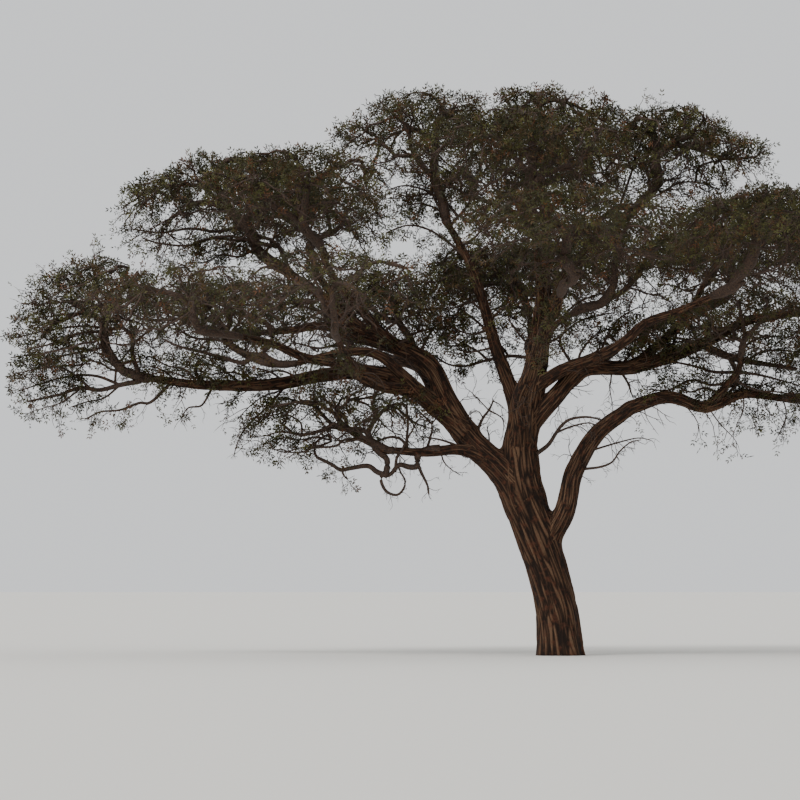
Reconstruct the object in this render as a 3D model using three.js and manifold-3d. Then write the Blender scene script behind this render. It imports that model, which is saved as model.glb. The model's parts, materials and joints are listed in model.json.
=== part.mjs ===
// A flat-crowned acacia: a leaning trunk that forks into long crooked boughs, under a wide layered crown.
// Every bough is one tapering limb that ends where it enters its own mass of foliage.
// X runs to the right of the usual view, Y away from it and Z up, with the origin on the ground cut.
import * as THREE from "three";
import { mergeVertices } from "three/addons/utils/BufferGeometryUtils.js";
import Module from "manifold-3d";

const wasm = await Module();
wasm.setup();

// Driving dimensions in millimetres. The tables below are in metres.
const METRE = 1000;
const GAP = 0.3; // between pieces that touch
const CLEARANCE = 30; // between a twig or leaf and any limb
const BORDER = 15; // from a mass to the border that it shares with the next
const FLATNESS = 1.9; // how much wider than high the masses are, when their borders are drawn
const FULLNESS = 3; // power of the outward share in a mass's dome: above 2, its top is flatter than a ball's
const CROWN_MIDDLE = { x: -0.8, y: 0, radius: 3 }; // masses nearer to it than the radius slope less
const SHOULDER = { height: 1.2, slope: 0.95 }; // a mass's top is no higher than a plane that falls outward

// The trunk: its centre and its radius at each height, from the flat cut to the fork.
const TRUNK = [
  { x: 0, y: 0, z: 0, radius: 0.46 },
  { x: -0.05, y: 0, z: 0.86, radius: 0.44 },
  { x: -0.24, y: -0.02, z: 1.7, radius: 0.43 },
  { x: -0.5, y: -0.03, z: 2.5, radius: 0.45 },
  { x: -0.78, y: 0, z: 3.35, radius: 0.44 },
  { x: -0.84, y: 0.02, z: 4.2, radius: 0.38 },
  { x: -0.79, y: 0.03, z: 4.75, radius: 0.33 },
  { x: -0.71, y: 0.03, z: 5.3, radius: 0.28 },
];
const ROOT_FLARE = { swell: 0.16, height: 0.42, lobes: 5, lobeDepth: 0.07, turn: 0.6 };

// The boughs in the order that they leave one another. Each starts on the axis of the limb named in
// from, at that share of its length, bends through the points in via, and tapers between two radii.
// Its mass has a centre and a reach: half its width, depth and height.
const BOUGHS = [
  {
    name: "high_left", from: "trunk", at: 0.62, radii: [0.3, 0.075],
    via: [[-1.55, -0.05, 4.2], [-2.05, -0.08, 4.83], [-2.4, -0.05, 5.45], [-2.85, 0, 6.08],
      [-3.75, 0.1, 6.62], [-4.6, 0.12, 7.1], [-5.15, 0.08, 7.75]],
    centre: [-7.05, 0, 9.3], reach: [2.5, 1.9, 1.25],
  },
  {
    name: "far_left", from: "high_left", at: 0.265, radii: [0.2, 0.075],
    via: [[-3.4, -0.2, 5.82], [-4.5, -0.3, 5.84], [-5.35, -0.25, 5.76], [-6.7, -0.15, 5.7], [-8.0, 0, 5.67]],
    centre: [-9.85, 0, 6.85], reach: [1.65, 2, 1.6],
  },
  {
    name: "mid_left", from: "far_left", at: 0.12, radii: [0.13, 0.06],
    via: [[-3.8, -0.5, 6.26], [-4.6, -0.7, 6.32], [-5.15, -0.8, 6.02]],
    centre: [-7, -0.4, 6.85], reach: [1.95, 1.7, 1.1],
  },
  {
    name: "inner_left", from: "high_left", at: 0.4, radii: [0.1, 0.05],
    via: [[-3.05, 0.5, 6.5]],
    centre: [-3.5, 0.7, 7.2], reach: [1.7, 1.5, 0.95],
  },
  {
    name: "left_front", from: "far_left", at: 0.3, radii: [0.12, 0.06],
    via: [[-5.5, -1.5, 6.25], [-6.3, -2.5, 6.5]],
    centre: [-7.9, -3.9, 7], reach: [2.2, 2.05, 0.95],
  },
  {
    name: "left_back", from: "high_left", at: 0.52, radii: [0.13, 0.06],
    via: [[-4.7, 1.4, 6.9], [-5.9, 2.5, 7.0]],
    centre: [-7.9, 3.9, 7.25], reach: [2.2, 2.05, 0.95],
  },
  {
    name: "high_left_front", from: "high_left", at: 0.6, radii: [0.11, 0.055],
    via: [[-4.65, -1.1, 7.7], [-4.9, -2.1, 8.3]],
    centre: [-5.5, -3.5, 9.25], reach: [2.1, 1.9, 1.05],
  },
  {
    name: "high_left_back", from: "high_left", at: 0.7, radii: [0.1, 0.055],
    via: [[-5.1, 1.2, 8.0], [-5.2, 2.2, 8.5]],
    centre: [-5.5, 3.7, 9.25], reach: [2.1, 1.9, 1.05],
  },
  {
    name: "low_left", from: "high_left", at: 0.11, radii: [0.15, 0.07],
    via: [[-2.0, -0.3, 4.26], [-2.65, -0.4, 4.36], [-3.1, -0.4, 4.05], [-3.5, -0.4, 4.28]],
    centre: [-4.5, -0.35, 4.8], reach: [2.2, 1.4, 1.05],
  },
  {
    name: "top_left", from: "trunk", at: 0.9, radii: [0.17, 0.065],
    via: [[-1.12, 0.05, 5.75], [-1.3, 0.05, 6.35], [-1.42, 0, 6.9], [-1.65, -0.05, 7.5],
      [-1.95, -0.05, 8.3]],
    centre: [-2.85, 0, 10.6], reach: [2.05, 1.9, 1.3],
  },
  {
    name: "top", from: "trunk", at: 0.985, radii: [0.27, 0.08],
    via: [[-0.55, 0.05, 5.9], [-0.42, 0.1, 6.6], [-0.36, 0.12, 7.4], [-0.28, 0.15, 8.4]],
    centre: [-0.3, 0.2, 10.6], reach: [1.9, 1.9, 1.4],
  },
  {
    name: "top_right", from: "top", at: 0.42, radii: [0.12, 0.06],
    via: [[0.35, 0.2, 8.3], [1.05, 0.15, 9.0]],
    centre: [2.4, 0, 10.3], reach: [2.15, 1.9, 1.25],
  },
  {
    name: "top_front", from: "top", at: 0.55, radii: [0.11, 0.055],
    via: [[-0.5, -1.0, 8.6]],
    centre: [-0.9, -3.7, 10], reach: [2.4, 1.9, 1.1],
  },
  {
    name: "top_back", from: "top", at: 0.62, radii: [0.11, 0.055],
    via: [[-0.3, 1.3, 8.8]],
    centre: [-0.6, 3.9, 10], reach: [2.4, 1.9, 1.1],
  },
  {
    name: "mid_front", from: "top", at: 0.14, radii: [0.1, 0.05],
    via: [[-0.1, -0.7, 7.0]],
    centre: [1.2, -1.9, 7.9], reach: [2, 1.6, 1.15],
  },
  {
    name: "mid_back", from: "top", at: 0.2, radii: [0.1, 0.05],
    via: [[-0.6, 0.95, 7.2]],
    centre: [-1.35, 1.75, 7.65], reach: [1.75, 1.6, 1.2],
  },
  {
    name: "front", from: "trunk", at: 0.8, radii: [0.2, 0.07],
    via: [[-0.8, -1.3, 5.5], [-0.45, -2.9, 6.5]],
    centre: [0, -6.2, 8.2], reach: [2.4, 1.9, 1.1],
  },
  {
    name: "back", from: "trunk", at: 0.85, radii: [0.2, 0.07],
    via: [[-0.6, 1.4, 5.8], [-0.5, 3.0, 6.7]],
    centre: [-0.2, 6.2, 8.2], reach: [2.4, 1.9, 1.1],
  },
  {
    name: "front_left", from: "far_left", at: 0.2, radii: [0.13, 0.06],
    via: [[-4.1, -1.3, 5.7], [-4.4, -3.0, 6.05]],
    centre: [-4.8, -5.9, 7.1], reach: [2.3, 1.9, 1],
  },
  {
    name: "back_left", from: "high_left", at: 0.33, radii: [0.13, 0.06],
    via: [[-3.1, 1.5, 6.15], [-3.8, 3.4, 6.5]],
    centre: [-4.8, 5.9, 7.3], reach: [2.3, 1.9, 1],
  },
  {
    name: "far_right", from: "trunk", at: 0.88, radii: [0.2, 0.075],
    via: [[0.4, 0, 5.87], [1.2, 0, 6.03], [1.9, 0, 6.2], [2.55, 0.03, 6.4], [3.1, 0.04, 6.52],
      [3.7, 0.05, 6.95]],
    centre: [6.4, 0.3, 8], reach: [1.95, 2.3, 1.15],
  },
  {
    name: "right", from: "far_right", at: 0.45, radii: [0.11, 0.055],
    via: [[2.75, 0.3, 7.2], [3.05, 0.3, 7.8]],
    centre: [3.95, 0.2, 8.7], reach: [2, 1.9, 1.2],
  },
  {
    name: "right_front", from: "top", at: 0.09, radii: [0.14, 0.06],
    via: [[0.4, -0.6, 6.15], [1.2, -1.5, 6.4], [1.75, -2.2, 6.85]],
    centre: [4.2, -4.3, 8.3], reach: [2.4, 2.2, 1.15],
  },
  {
    name: "right_back", from: "far_right", at: 0.24, radii: [0.13, 0.06],
    via: [[1.5, 1.1, 6.7], [2.1, 2.1, 7.1]],
    centre: [4.2, 4.3, 8.4], reach: [2.4, 2.2, 1.15],
  },
  {
    name: "right_arch", from: "trunk", at: 0.42, radii: [0.23, 0.15],
    via: [[-0.08, -0.12, 2.62], [0.14, -0.15, 3.22], [0.31, -0.18, 3.87], [0.6, -0.2, 4.45],
      [1.01, -0.2, 4.87]],
    tip: [1.46, -0.2, 5.18],
  },
  {
    name: "far_right_low", from: "right_arch", at: 1, radii: [0.15, 0.075],
    via: [[1.88, -0.2, 5.36], [2.32, -0.2, 5.38], [2.8, -0.15, 5.22], [3.35, -0.1, 5.28], [3.9, -0.1, 5.46],
      [4.5, -0.05, 5.36]],
    centre: [6.3, 0.1, 6.2], reach: [2.1, 2.2, 1.15],
  },
  {
    name: "right_low", from: "far_right_low", at: 0.5, radii: [0.09, 0.05],
    via: [[3.66, -0.5, 5.85], [3.72, -0.95, 6.25]],
    centre: [3.9, -1.4, 6.75], reach: [1.9, 1.5, 0.9],
  },
];

// How the limbs are drawn
const RING_STEP = 900; // length of bough to a ring of faces
const SIDES = [[0.25, 7], [0.14, 6], [0, 5]]; // least base radius, and the faces round such a limb
const TRUNK_DRAWN = { sides: 16, rings: 11 };
const COLLAR = { swell: 0.35, length: 1.6 }; // swelling at a bough's root, against its base radius
const TAPER = 0.85;
const CROOK = { sway: 0.012, waves: [2, 3] }; // sideways wander as a share of length, and its waves each way
const ENTRY = 0.82; // a bough ends at this share of the way from its mass's heart to the edge

// How the foliage grows: a stem, then orders of twigs aimed at points spread through the mass's dome.
// A leaf leaves its twig at a share of the twig's length, turned by an angle.
const HEART_DROP = 0.45; // the heart of a mass lies this share of its height below the centre
const STEM = { length: 0.75, radius: 0.05, middle: 0.7, bend: 0.4, sides: 4, sunk: 0.06 };
const ORDERS = [
  { count: 3, spread: 0.45, low: 0, high: 0.5, radius: 0.05, bend: 0.4, rings: 2, leaves: [[0.8, 0.8]] },
  {
    count: 6, spread: 0.74, low: -0.5, high: 0.95, radius: 0.042, bend: 0, rings: 1,
    leaves: [[0.85, 0.3], [0.7, -0.8], [0.5, 1.1]],
  },
];
const CANOPY = 1.3; // above 1, more of the twigs reach for the top than for the underside
const WOOD_PLACES = 4; // places along each twig where finer ones may leave
const SET_BACK = 0.4; // a twig leaves this share of its length nearer the root than the closest wood
const TWIG_SIDES = 3;
const LEAF = { length: 0.74, width: 0.55, thickness: 0.03, sunk: 0.008, droop: 0.5, roll: 0.9, vary: 0.15 };
const SHRINKS = [1, 0.85, 0.72, 0.6, 0.5, 0.42, 0.34]; // sizes tried, until a leaf keeps inside its mass
// Sizes of ripple that are evened out where fused pieces cross, tried from the largest
const SMOOTHINGS = [16, 14, 12, 10, 9, 8, 7, 6, 5, 4, 3, 2, 1, 0.5, 0.1];

const FIRST_SEED = 341; // of the first mass, with two for each
const SILVER_SHARE = Math.SQRT2 - 1; // steps the heights of the twigs, so that they fill the whole dome
const GOLDEN_TURN = Math.PI * (3 - Math.sqrt(5));
const UP = new THREE.Vector3(0, 0, 1);

const BARK = { color: 0x4a3b2e, roughness: 0.95, metalness: 0 };
const FOLIAGE = { color: 0x4b4a24, roughness: 0.85, metalness: 0 };

// Small helpers

// A generator of numbers between 0 and 1 that look random, and are the same on every run.
function seeded(seed) {
  const factor = 48271;
  const cycle = 2 ** 31 - 1;
  let state = seed * 7919 + 17;
  return () => {
    state = (state * factor) % cycle;
    return state / cycle;
  };
}

function metres(triple) {
  return new THREE.Vector3(...triple).multiplyScalar(METRE);
}

function mix(low, high, share) {
  return low + (high - low) * share;
}

function solidOf(geometry) {
  geometry.deleteAttribute("normal");
  geometry.deleteAttribute("uv");
  const merged = mergeVertices(geometry, 1e-3);
  return new wasm.Manifold(
    new wasm.Mesh({
      numProp: 3,
      vertProperties: merged.getAttribute("position").array,
      triVerts: new Uint32Array(merged.getIndex().array),
    }),
  );
}

function geometryOf(solid) {
  const surface = solid.getMesh();
  const geometry = new THREE.BufferGeometry();
  geometry.setAttribute("position", new THREE.BufferAttribute(surface.vertProperties, 3));
  geometry.setIndex(new THREE.BufferAttribute(surface.triVerts, 1));
  return geometry;
}

// The largest separate body of a solid, so that no loose scrap of a cut is kept.
function mainBody(solid) {
  const bodies = solid.decompose();
  return bodies.reduce((a, b) => (b.volume() > a.volume() ? b : a));
}

// The solid with its finest ripples evened out, as far as no two of its corners come to one place.
function smoothed(solid) {
  for (const ripple of SMOOTHINGS) {
    const body = mainBody(solid.asOriginal().simplify(ripple));
    if (cornersApart(body)) return body;
  }
  throw new Error("two corners of a mass lie in one place");
}

function cornersApart(solid) {
  const { vertProperties, numVert } = solid.getMesh();
  const places = new Set();
  for (let i = 0; i < numVert; i++) {
    const corner = Array.from(vertProperties.slice(3 * i, 3 * i + 3), (value) => value.toFixed(3));
    places.add(corner.join());
  }
  return places.size === numVert;
}

// A sideways pair of axes at each point of a line, turned as little as possible from one to the next.
function framesAlong(points) {
  let side = null;
  return points.map((point, i) => {
    const ahead = points[Math.min(i + 1, points.length - 1)];
    const behind = points[Math.max(i - 1, 0)];
    const along = ahead.clone().sub(behind).normalize();
    if (!side) side = Math.abs(along.z) > 0.9 ? new THREE.Vector3(1, 0, 0) : UP.clone();
    side = side.clone().addScaledVector(along, -side.dot(along)).normalize();
    return { along, side, across: new THREE.Vector3().crossVectors(side, along) };
  });
}

// A closed tube along a line, with a radius at each point. A last radius of nought ends it in a point.
function tube(points, radii, sides) {
  const rings = points.length - 1;
  const pointed = radii[rings] === 0;
  const geometry = new THREE.CylinderGeometry(pointed ? 0 : 1, 1, 1, sides, rings);
  const frames = framesAlong(points);
  const corners = geometry.getAttribute("position");
  const corner = new THREE.Vector3();
  for (let i = 0; i < corners.count; i++) {
    corner.fromBufferAttribute(corners, i);
    const ring = Math.round((corner.y + 0.5) * rings);
    const spoke = Math.hypot(corner.x, corner.z);
    const reach = spoke > 1e-6 ? radii[ring] / spoke : 0;
    const { side, across } = frames[ring];
    const placed = points[ring]
      .clone()
      .addScaledVector(side, corner.x * reach)
      .addScaledVector(across, corner.z * reach);
    corners.setXYZ(i, placed.x, placed.y, placed.z);
  }
  return solidOf(geometry);
}

// The trunk is built of level rings, so that its foot is one flat cut.
const trunkLine = new THREE.CatmullRomCurve3(
  TRUNK.map(({ x, y, z }) => metres([x, y, z])), false, "catmullrom", 0.5);

function trunkRadius(share) {
  const radii = new THREE.CatmullRomCurve3(
    TRUNK.map(({ radius }) => new THREE.Vector3(radius, 0, 0)), false, "catmullrom", 0.5);
  return radii.getPoint(share).x * METRE;
}

function trunkSolid(grow) {
  const { sides, rings } = TRUNK_DRAWN;
  const geometry = new THREE.CylinderGeometry(1, 1, 1, sides, rings);
  const corners = geometry.getAttribute("position");
  for (let i = 0; i < corners.count; i++) {
    const share = corners.getY(i) + 0.5;
    const centre = trunkLine.getPoint(share);
    const around = Math.atan2(corners.getZ(i), corners.getX(i));
    const fade = Math.exp(-centre.z / (ROOT_FLARE.height * METRE));
    const lobes = ROOT_FLARE.lobeDepth * Math.cos(ROOT_FLARE.lobes * around + ROOT_FLARE.turn);
    const radius = trunkRadius(share) * (1 + (ROOT_FLARE.swell + lobes) * fade) + grow;
    const spoke = Math.hypot(corners.getX(i), corners.getZ(i));
    const end = share > 0.999 ? grow : 0;
    corners.setXYZ(i,
      centre.x + radius * corners.getX(i) * Math.sign(spoke),
      centre.y - radius * corners.getZ(i) * Math.sign(spoke),
      centre.z + end);
  }
  return solidOf(geometry);
}

// Boughs

function entryPoint(bough) {
  if (bough.tip) return metres(bough.tip);
  const heart = heartOf(bough);
  const last = metres(bough.via[bough.via.length - 1]);
  const reach = metres(bough.reach);
  const ray = last.sub(heart);
  const depth = Math.hypot(ray.x / reach.x, ray.y / reach.y, ray.z / reach.z);
  return heart.addScaledVector(ray, Math.min(1, ENTRY / depth));
}

function heartOf({ centre, reach }) {
  return metres([centre[0], centre[1], centre[2] - reach[2] * HEART_DROP]);
}

// A bough's line: a smooth curve through its points that wanders a little sideways between its ends.
function boughLine(bough, parentLine, seed) {
  const start = parentLine.getPointAt(bough.at);
  const curve = new THREE.CatmullRomCurve3(
    [start, ...bough.via.map(metres), entryPoint(bough)], false, "catmullrom", 0.5);
  const length = curve.getLength();
  const steps = Math.max(3, Math.round(length / RING_STEP));
  const points = curve.getSpacedPoints(steps);
  const frames = framesAlong(points);
  const random = seeded(seed);
  const phases = [random(), random()];
  return points.map((point, i) => {
    const share = i / steps;
    const sway = CROOK.sway * length * Math.sin(Math.PI * share);
    const [sideways, crossways] = CROOK.waves.map((waves, k) =>
      sway * Math.sin(2 * Math.PI * (waves * share + phases[k])));
    return point.addScaledVector(frames[i].side, sideways).addScaledVector(frames[i].across, crossways);
  });
}

function boughRadius(bough, share, length) {
  const [base, tip] = bough.radii;
  const fade = Math.exp((-share * length) / (base * COLLAR.length * METRE));
  const collar = bough.at === 1 ? 0 : COLLAR.swell * fade;
  return METRE * mix(tip, base, (1 - share) ** TAPER) * (1 + collar);
}

function boughSolid(bough, grow) {
  const { points } = bough;
  const length = points.slice(1).reduce((sum, p, i) => sum + p.distanceTo(points[i]), 0);
  const radii = points.map((_, i) => boughRadius(bough, i / (points.length - 1), length) + grow);
  const sides = SIDES.find(([radius]) => bough.radii[0] >= radius)[1];
  return tube(grow ? lengthened(points, grow) : points, radii, sides);
}

// The same line with both of its ends moved outward.
function lengthened(points, by) {
  const moved = points.map((point) => point.clone());
  for (const [end, inner] of [[0, 1], [points.length - 1, points.length - 2]]) {
    moved[end].add(points[end].clone().sub(points[inner]).setLength(by));
  }
  return moved;
}

// Masses of foliage

// The borders of a mass with each other mass, as planes that its twigs and leaves stay behind.
function bordersOf(bough, masses) {
  const squash = new THREE.Vector3(1, 1, FLATNESS);
  const centre = metres(bough.centre).multiply(squash);
  const size = (reach) => ((reach[0] + reach[1]) / 2) * METRE;
  return masses.filter((other) => other !== bough).map((other) => {
    const otherCentre = metres(other.centre).multiply(squash);
    const apart = otherCentre.clone().sub(centre);
    const spacing = apart.length();
    const share = 0.5 + (size(bough.reach) ** 2 - size(other.reach) ** 2) / (2 * spacing ** 2);
    const normal = apart.clone().normalize().multiply(squash);
    const steepness = normal.length();
    const middle = centre.clone().addScaledVector(apart, share).divide(squash);
    return new THREE.Plane().setFromNormalAndCoplanarPoint(normal.divideScalar(steepness), middle);
  });
}

// The way from the middle of the crown to a mass, shorter than 1 for a mass near the middle.
function outwardOf({ centre }) {
  const x = centre[0] - CROWN_MIDDLE.x;
  const y = centre[1] - CROWN_MIDDLE.y;
  return new THREE.Vector2(x, y).divideScalar(Math.max(Math.hypot(x, y), CROWN_MIDDLE.radius));
}

// The share of its dome's height that a mass keeps above a place.
function topShare(mass, x, y) {
  const dome = Math.sqrt(Math.max(0, 1 - Math.hypot(x, y) ** FULLNESS));
  const plane = SHOULDER.height - SHOULDER.slope * (x * mass.outward.x + y * mass.outward.y);
  return dome > 0 ? Math.min(1, plane / dome) : 1;
}

function inSpace(mass, corners) {
  return corners.every((corner) => {
    const { x, y, z } = corner.clone().sub(mass.middle).divide(mass.size);
    const height = z > 0 ? z / topShare(mass, x, y) : z;
    const inDome = Math.hypot(x, y) ** FULLNESS + height * height <= 1;
    return inDome && mass.borders.every((plane) => plane.distanceToPoint(corner) < -BORDER);
  });
}

// Points spread evenly through the dome of a mass, in turns of the golden angle.
function targetsIn(mass, order, turn) {
  return Array.from({ length: order.count }, (_, i) => {
    const outward = Math.sqrt((i + 0.5) / order.count) * order.spread;
    const angle = i * GOLDEN_TURN + turn;
    const lift = mix(order.high, order.low, ((i * SILVER_SHARE) % 1) ** CANOPY);
    const x = outward * Math.cos(angle);
    const y = outward * Math.sin(angle);
    const rise = Math.sqrt(1 - outward ** FULLNESS) * lift * (lift > 0 ? topShare(mass, x, y) : 1);
    return new THREE.Vector3(x, y, rise)
      .multiply(mass.size)
      .add(mass.middle);
  });
}

// The wood that a twig sets out from: the closest, and then some way back towards the root.
function setOut(wood, target) {
  let nearest = 0;
  wood.forEach(({ point }, i) => {
    if (point.distanceTo(target) < wood[nearest].point.distanceTo(target)) nearest = i;
  });
  const limit = SET_BACK * wood[nearest].point.distanceTo(target);
  let walked = 0;
  while (wood[nearest].below > 0 && walked < limit) {
    const { point, below } = wood[nearest];
    walked += point.distanceTo(wood[below].point);
    nearest = below;
  }
  return nearest;
}

// A twig's path from one place in the wood to a target. It first follows the wood and then bends away.
function twigPath(wood, root, target, { bend, rings }) {
  const start = wood[root].point;
  if (rings === 1) return [start, target];
  const onward = start.clone().sub(wood[Math.max(wood[root].below, 0)].point).normalize();
  const knee = start.clone().addScaledVector(onward, bend * start.distanceTo(target));
  return new THREE.QuadraticBezierCurve3(start, knee, target).getPoints(rings);
}

// The place at a share of a path's length of pieces.
function placeOn(path, share) {
  const piece = Math.min(Math.floor(share * (path.length - 1)), path.length - 2);
  return path[piece].clone().lerp(path[piece + 1], share * (path.length - 1) - piece);
}

function addWood(wood, root, path) {
  let below = root;
  for (let i = 1; i <= WOOD_PLACES; i++) {
    wood.push({ point: placeOn(path, i / WOOD_PLACES), below });
    below = wood.length - 1;
  }
}

// A leaf that stands for a whole spray: a flat eight-faced blade, its root sunk in its twig.
function leafAt(mass, path, [place, turn], random) {
  const full = LEAF.length * mass.span * mix(1 - LEAF.vary, 1 + LEAF.vary, random());
  const root = placeOn(path, place);
  const along = path[path.length - 1].clone().sub(path[path.length - 2]).applyAxisAngle(UP, turn);
  along.z *= LEAF.droop;
  along.normalize();
  const side = new THREE.Vector3().crossVectors(UP, along).normalize();
  side.applyAxisAngle(along, mix(-LEAF.roll, LEAF.roll, random()));
  const face = new THREE.Vector3().crossVectors(along, side);
  for (const shrink of SHRINKS) {
    const length = full * shrink;
    const middle = root.clone().addScaledVector(along, length * (0.5 - LEAF.sunk));
    const blade = new THREE.Matrix4()
      .makeBasis(along, side, face)
      .scale(new THREE.Vector3(length / 2, (length * LEAF.width) / 2, (length * LEAF.thickness) / 2))
      .setPosition(middle);
    const geometry = new THREE.OctahedronGeometry(1).applyMatrix4(blade);
    if (inSpace(mass, cornersOf(geometry))) return solidOf(geometry);
  }
  return null;
}

function cornersOf(geometry) {
  const list = geometry.getAttribute("position");
  return Array.from({ length: list.count }, (_, i) => new THREE.Vector3().fromBufferAttribute(list, i));
}

// The stem's path goes on from the bough's tip and bends to the heart of the mass.
function stemPath(mass) {
  const [before, tip] = mass.points.slice(-2);
  const onward = tip.clone().sub(before).normalize();
  const end = tip.clone().lerp(heartOf(mass), STEM.length);
  const foot = tip.clone().addScaledVector(onward, -STEM.sunk * METRE);
  const knee = tip.clone().addScaledVector(onward, STEM.bend * tip.distanceTo(end));
  return new THREE.QuadraticBezierCurve3(foot, knee, end).getPoints(2);
}

// A mass: its stem, orders of twigs and the leaves on each twig, fused into one solid.
function foliageSolid(mass, seed, limbs, limbsGrown) {
  const turns = seeded(seed);
  const random = seeded(seed + 1);
  const path = stemPath(mass);
  const radii = [1, STEM.middle, 0].map((share) => STEM.radius * METRE * share);
  const pieces = [mainBody(tube(path, radii, STEM.sides).subtract(limbs))];
  const wood = [{ point: path[0], below: -1 }];
  addWood(wood, 0, path);
  const clear = (solid) => solid.intersect(limbsGrown).isEmpty();
  for (const order of ORDERS) {
    for (const target of targetsIn(mass, order, turns() * Math.PI * 2)) {
      const root = setOut(wood, target);
      const twigLine = twigPath(wood, root, target, order);
      const twigRadii = twigLine.map((_, i) => order.radius * METRE * (1 - i / order.rings));
      const twig = tube(twigLine, twigRadii, TWIG_SIDES);
      if (!inSpace(mass, twigLine.slice(1)) || !clear(twig)) continue;
      pieces.push(twig);
      addWood(wood, root, twigLine);
      for (const site of order.leaves) {
        const leaf = leafAt(mass, twigLine, site, random);
        if (leaf && clear(leaf)) pieces.push(leaf);
      }
    }
  }
  return smoothed(wasm.Manifold.union(pieces));
}

// The whole tree

function tree() {
  const group = new THREE.Group();
  const bark = new THREE.MeshStandardMaterial(BARK);
  const leafage = new THREE.MeshStandardMaterial(FOLIAGE);
  const add = (name, solid, material) => {
    const mesh = new THREE.Mesh(geometryOf(solid), material);
    mesh.name = name;
    group.add(mesh);
  };

  add("trunk", trunkSolid(0), bark);
  const lines = { trunk: trunkLine };
  let limbs = trunkSolid(GAP);
  let limbsGrown = trunkSolid(CLEARANCE);
  BOUGHS.forEach((bough, i) => {
    bough.points = boughLine(bough, lines[bough.from], i + 1);
    lines[bough.name] = new THREE.CatmullRomCurve3(bough.points, false, "catmullrom", 0.5);
    add(`bough_${bough.name}`, mainBody(boughSolid(bough, 0).subtract(limbs)), bark);
    limbs = limbs.add(boughSolid(bough, GAP));
    limbsGrown = limbsGrown.add(boughSolid(bough, CLEARANCE));
  });

  const masses = BOUGHS.filter(({ centre }) => centre);
  masses.forEach((mass, i) => {
    mass.middle = metres(mass.centre);
    mass.size = metres(mass.reach);
    mass.span = (mass.size.x + mass.size.y) / 2;
    mass.outward = outwardOf(mass);
    mass.borders = bordersOf(mass, masses);
    add(`foliage_${mass.name}`, foliageSolid(mass, FIRST_SEED + 2 * i, limbs, limbsGrown), leafage);
  });
  return group;
}

export default tree();
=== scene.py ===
"""The looks of a flat-crowned acacia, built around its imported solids. Metres, +Z up."""

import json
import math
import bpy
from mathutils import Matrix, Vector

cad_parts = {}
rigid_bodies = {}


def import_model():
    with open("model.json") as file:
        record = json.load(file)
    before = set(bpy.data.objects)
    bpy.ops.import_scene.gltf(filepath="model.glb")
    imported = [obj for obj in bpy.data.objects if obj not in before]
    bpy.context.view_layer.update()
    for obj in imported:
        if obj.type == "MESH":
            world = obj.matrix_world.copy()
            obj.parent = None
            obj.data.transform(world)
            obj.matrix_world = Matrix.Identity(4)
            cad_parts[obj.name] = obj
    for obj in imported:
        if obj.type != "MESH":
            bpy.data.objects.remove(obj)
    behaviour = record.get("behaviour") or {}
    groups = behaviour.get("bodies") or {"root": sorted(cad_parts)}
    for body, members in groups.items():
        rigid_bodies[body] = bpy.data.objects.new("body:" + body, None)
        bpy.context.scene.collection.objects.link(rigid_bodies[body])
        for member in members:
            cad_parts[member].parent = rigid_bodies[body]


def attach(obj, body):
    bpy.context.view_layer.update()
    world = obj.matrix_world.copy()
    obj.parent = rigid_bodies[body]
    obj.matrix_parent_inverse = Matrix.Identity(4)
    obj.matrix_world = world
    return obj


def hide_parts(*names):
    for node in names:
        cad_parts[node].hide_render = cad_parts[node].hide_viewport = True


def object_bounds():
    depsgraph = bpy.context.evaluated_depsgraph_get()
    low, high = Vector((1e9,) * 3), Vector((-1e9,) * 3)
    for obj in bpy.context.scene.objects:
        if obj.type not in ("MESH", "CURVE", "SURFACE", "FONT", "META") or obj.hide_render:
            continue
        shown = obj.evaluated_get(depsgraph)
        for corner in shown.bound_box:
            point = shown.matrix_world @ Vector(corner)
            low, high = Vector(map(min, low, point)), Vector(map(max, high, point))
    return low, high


bl_info = {
    "name": "Flat-crowned acacia",
    "version": (1, 0, 0),
    "blender": (4, 5, 0),
    "location": "View3D > Sidebar > Acacia",
    "description": "Builds the furrowed bark, the twigs, the feathery leaves and the stage of an acacia",
    "category": "Add Mesh",
}

from functools import cache
from itertools import chain
from typing import NamedTuple

import bmesh
import bpy
import numpy as np
from mathutils import Vector, noise
from mathutils.kdtree import KDTree

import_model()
CAD_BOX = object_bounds()
BODY = "root"
MILLIMETRE = 0.001

# The trunk and boughs, as the solids have them

# The trunk's centre and its radius at each height, from the flat cut to the fork
TRUNK = [
    (0, 0, 0, 0.46),
    (-0.05, 0, 0.86, 0.44),
    (-0.24, -0.02, 1.7, 0.43),
    (-0.5, -0.03, 2.5, 0.45),
    (-0.78, 0, 3.35, 0.44),
    (-0.84, 0.02, 4.2, 0.38),
    (-0.79, 0.03, 4.75, 0.33),
    (-0.71, 0.03, 5.3, 0.28),
]


class Bough(NamedTuple):
    """One tapering limb: where it leaves its parent, its two radii, and the points it bends through.
    Its mass of foliage has a centre and a reach: half its width, depth and height."""

    name: str
    parent: str
    at: float
    radii: tuple
    via: list
    centre: tuple = None
    reach: tuple = None
    tip: tuple = None


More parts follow.
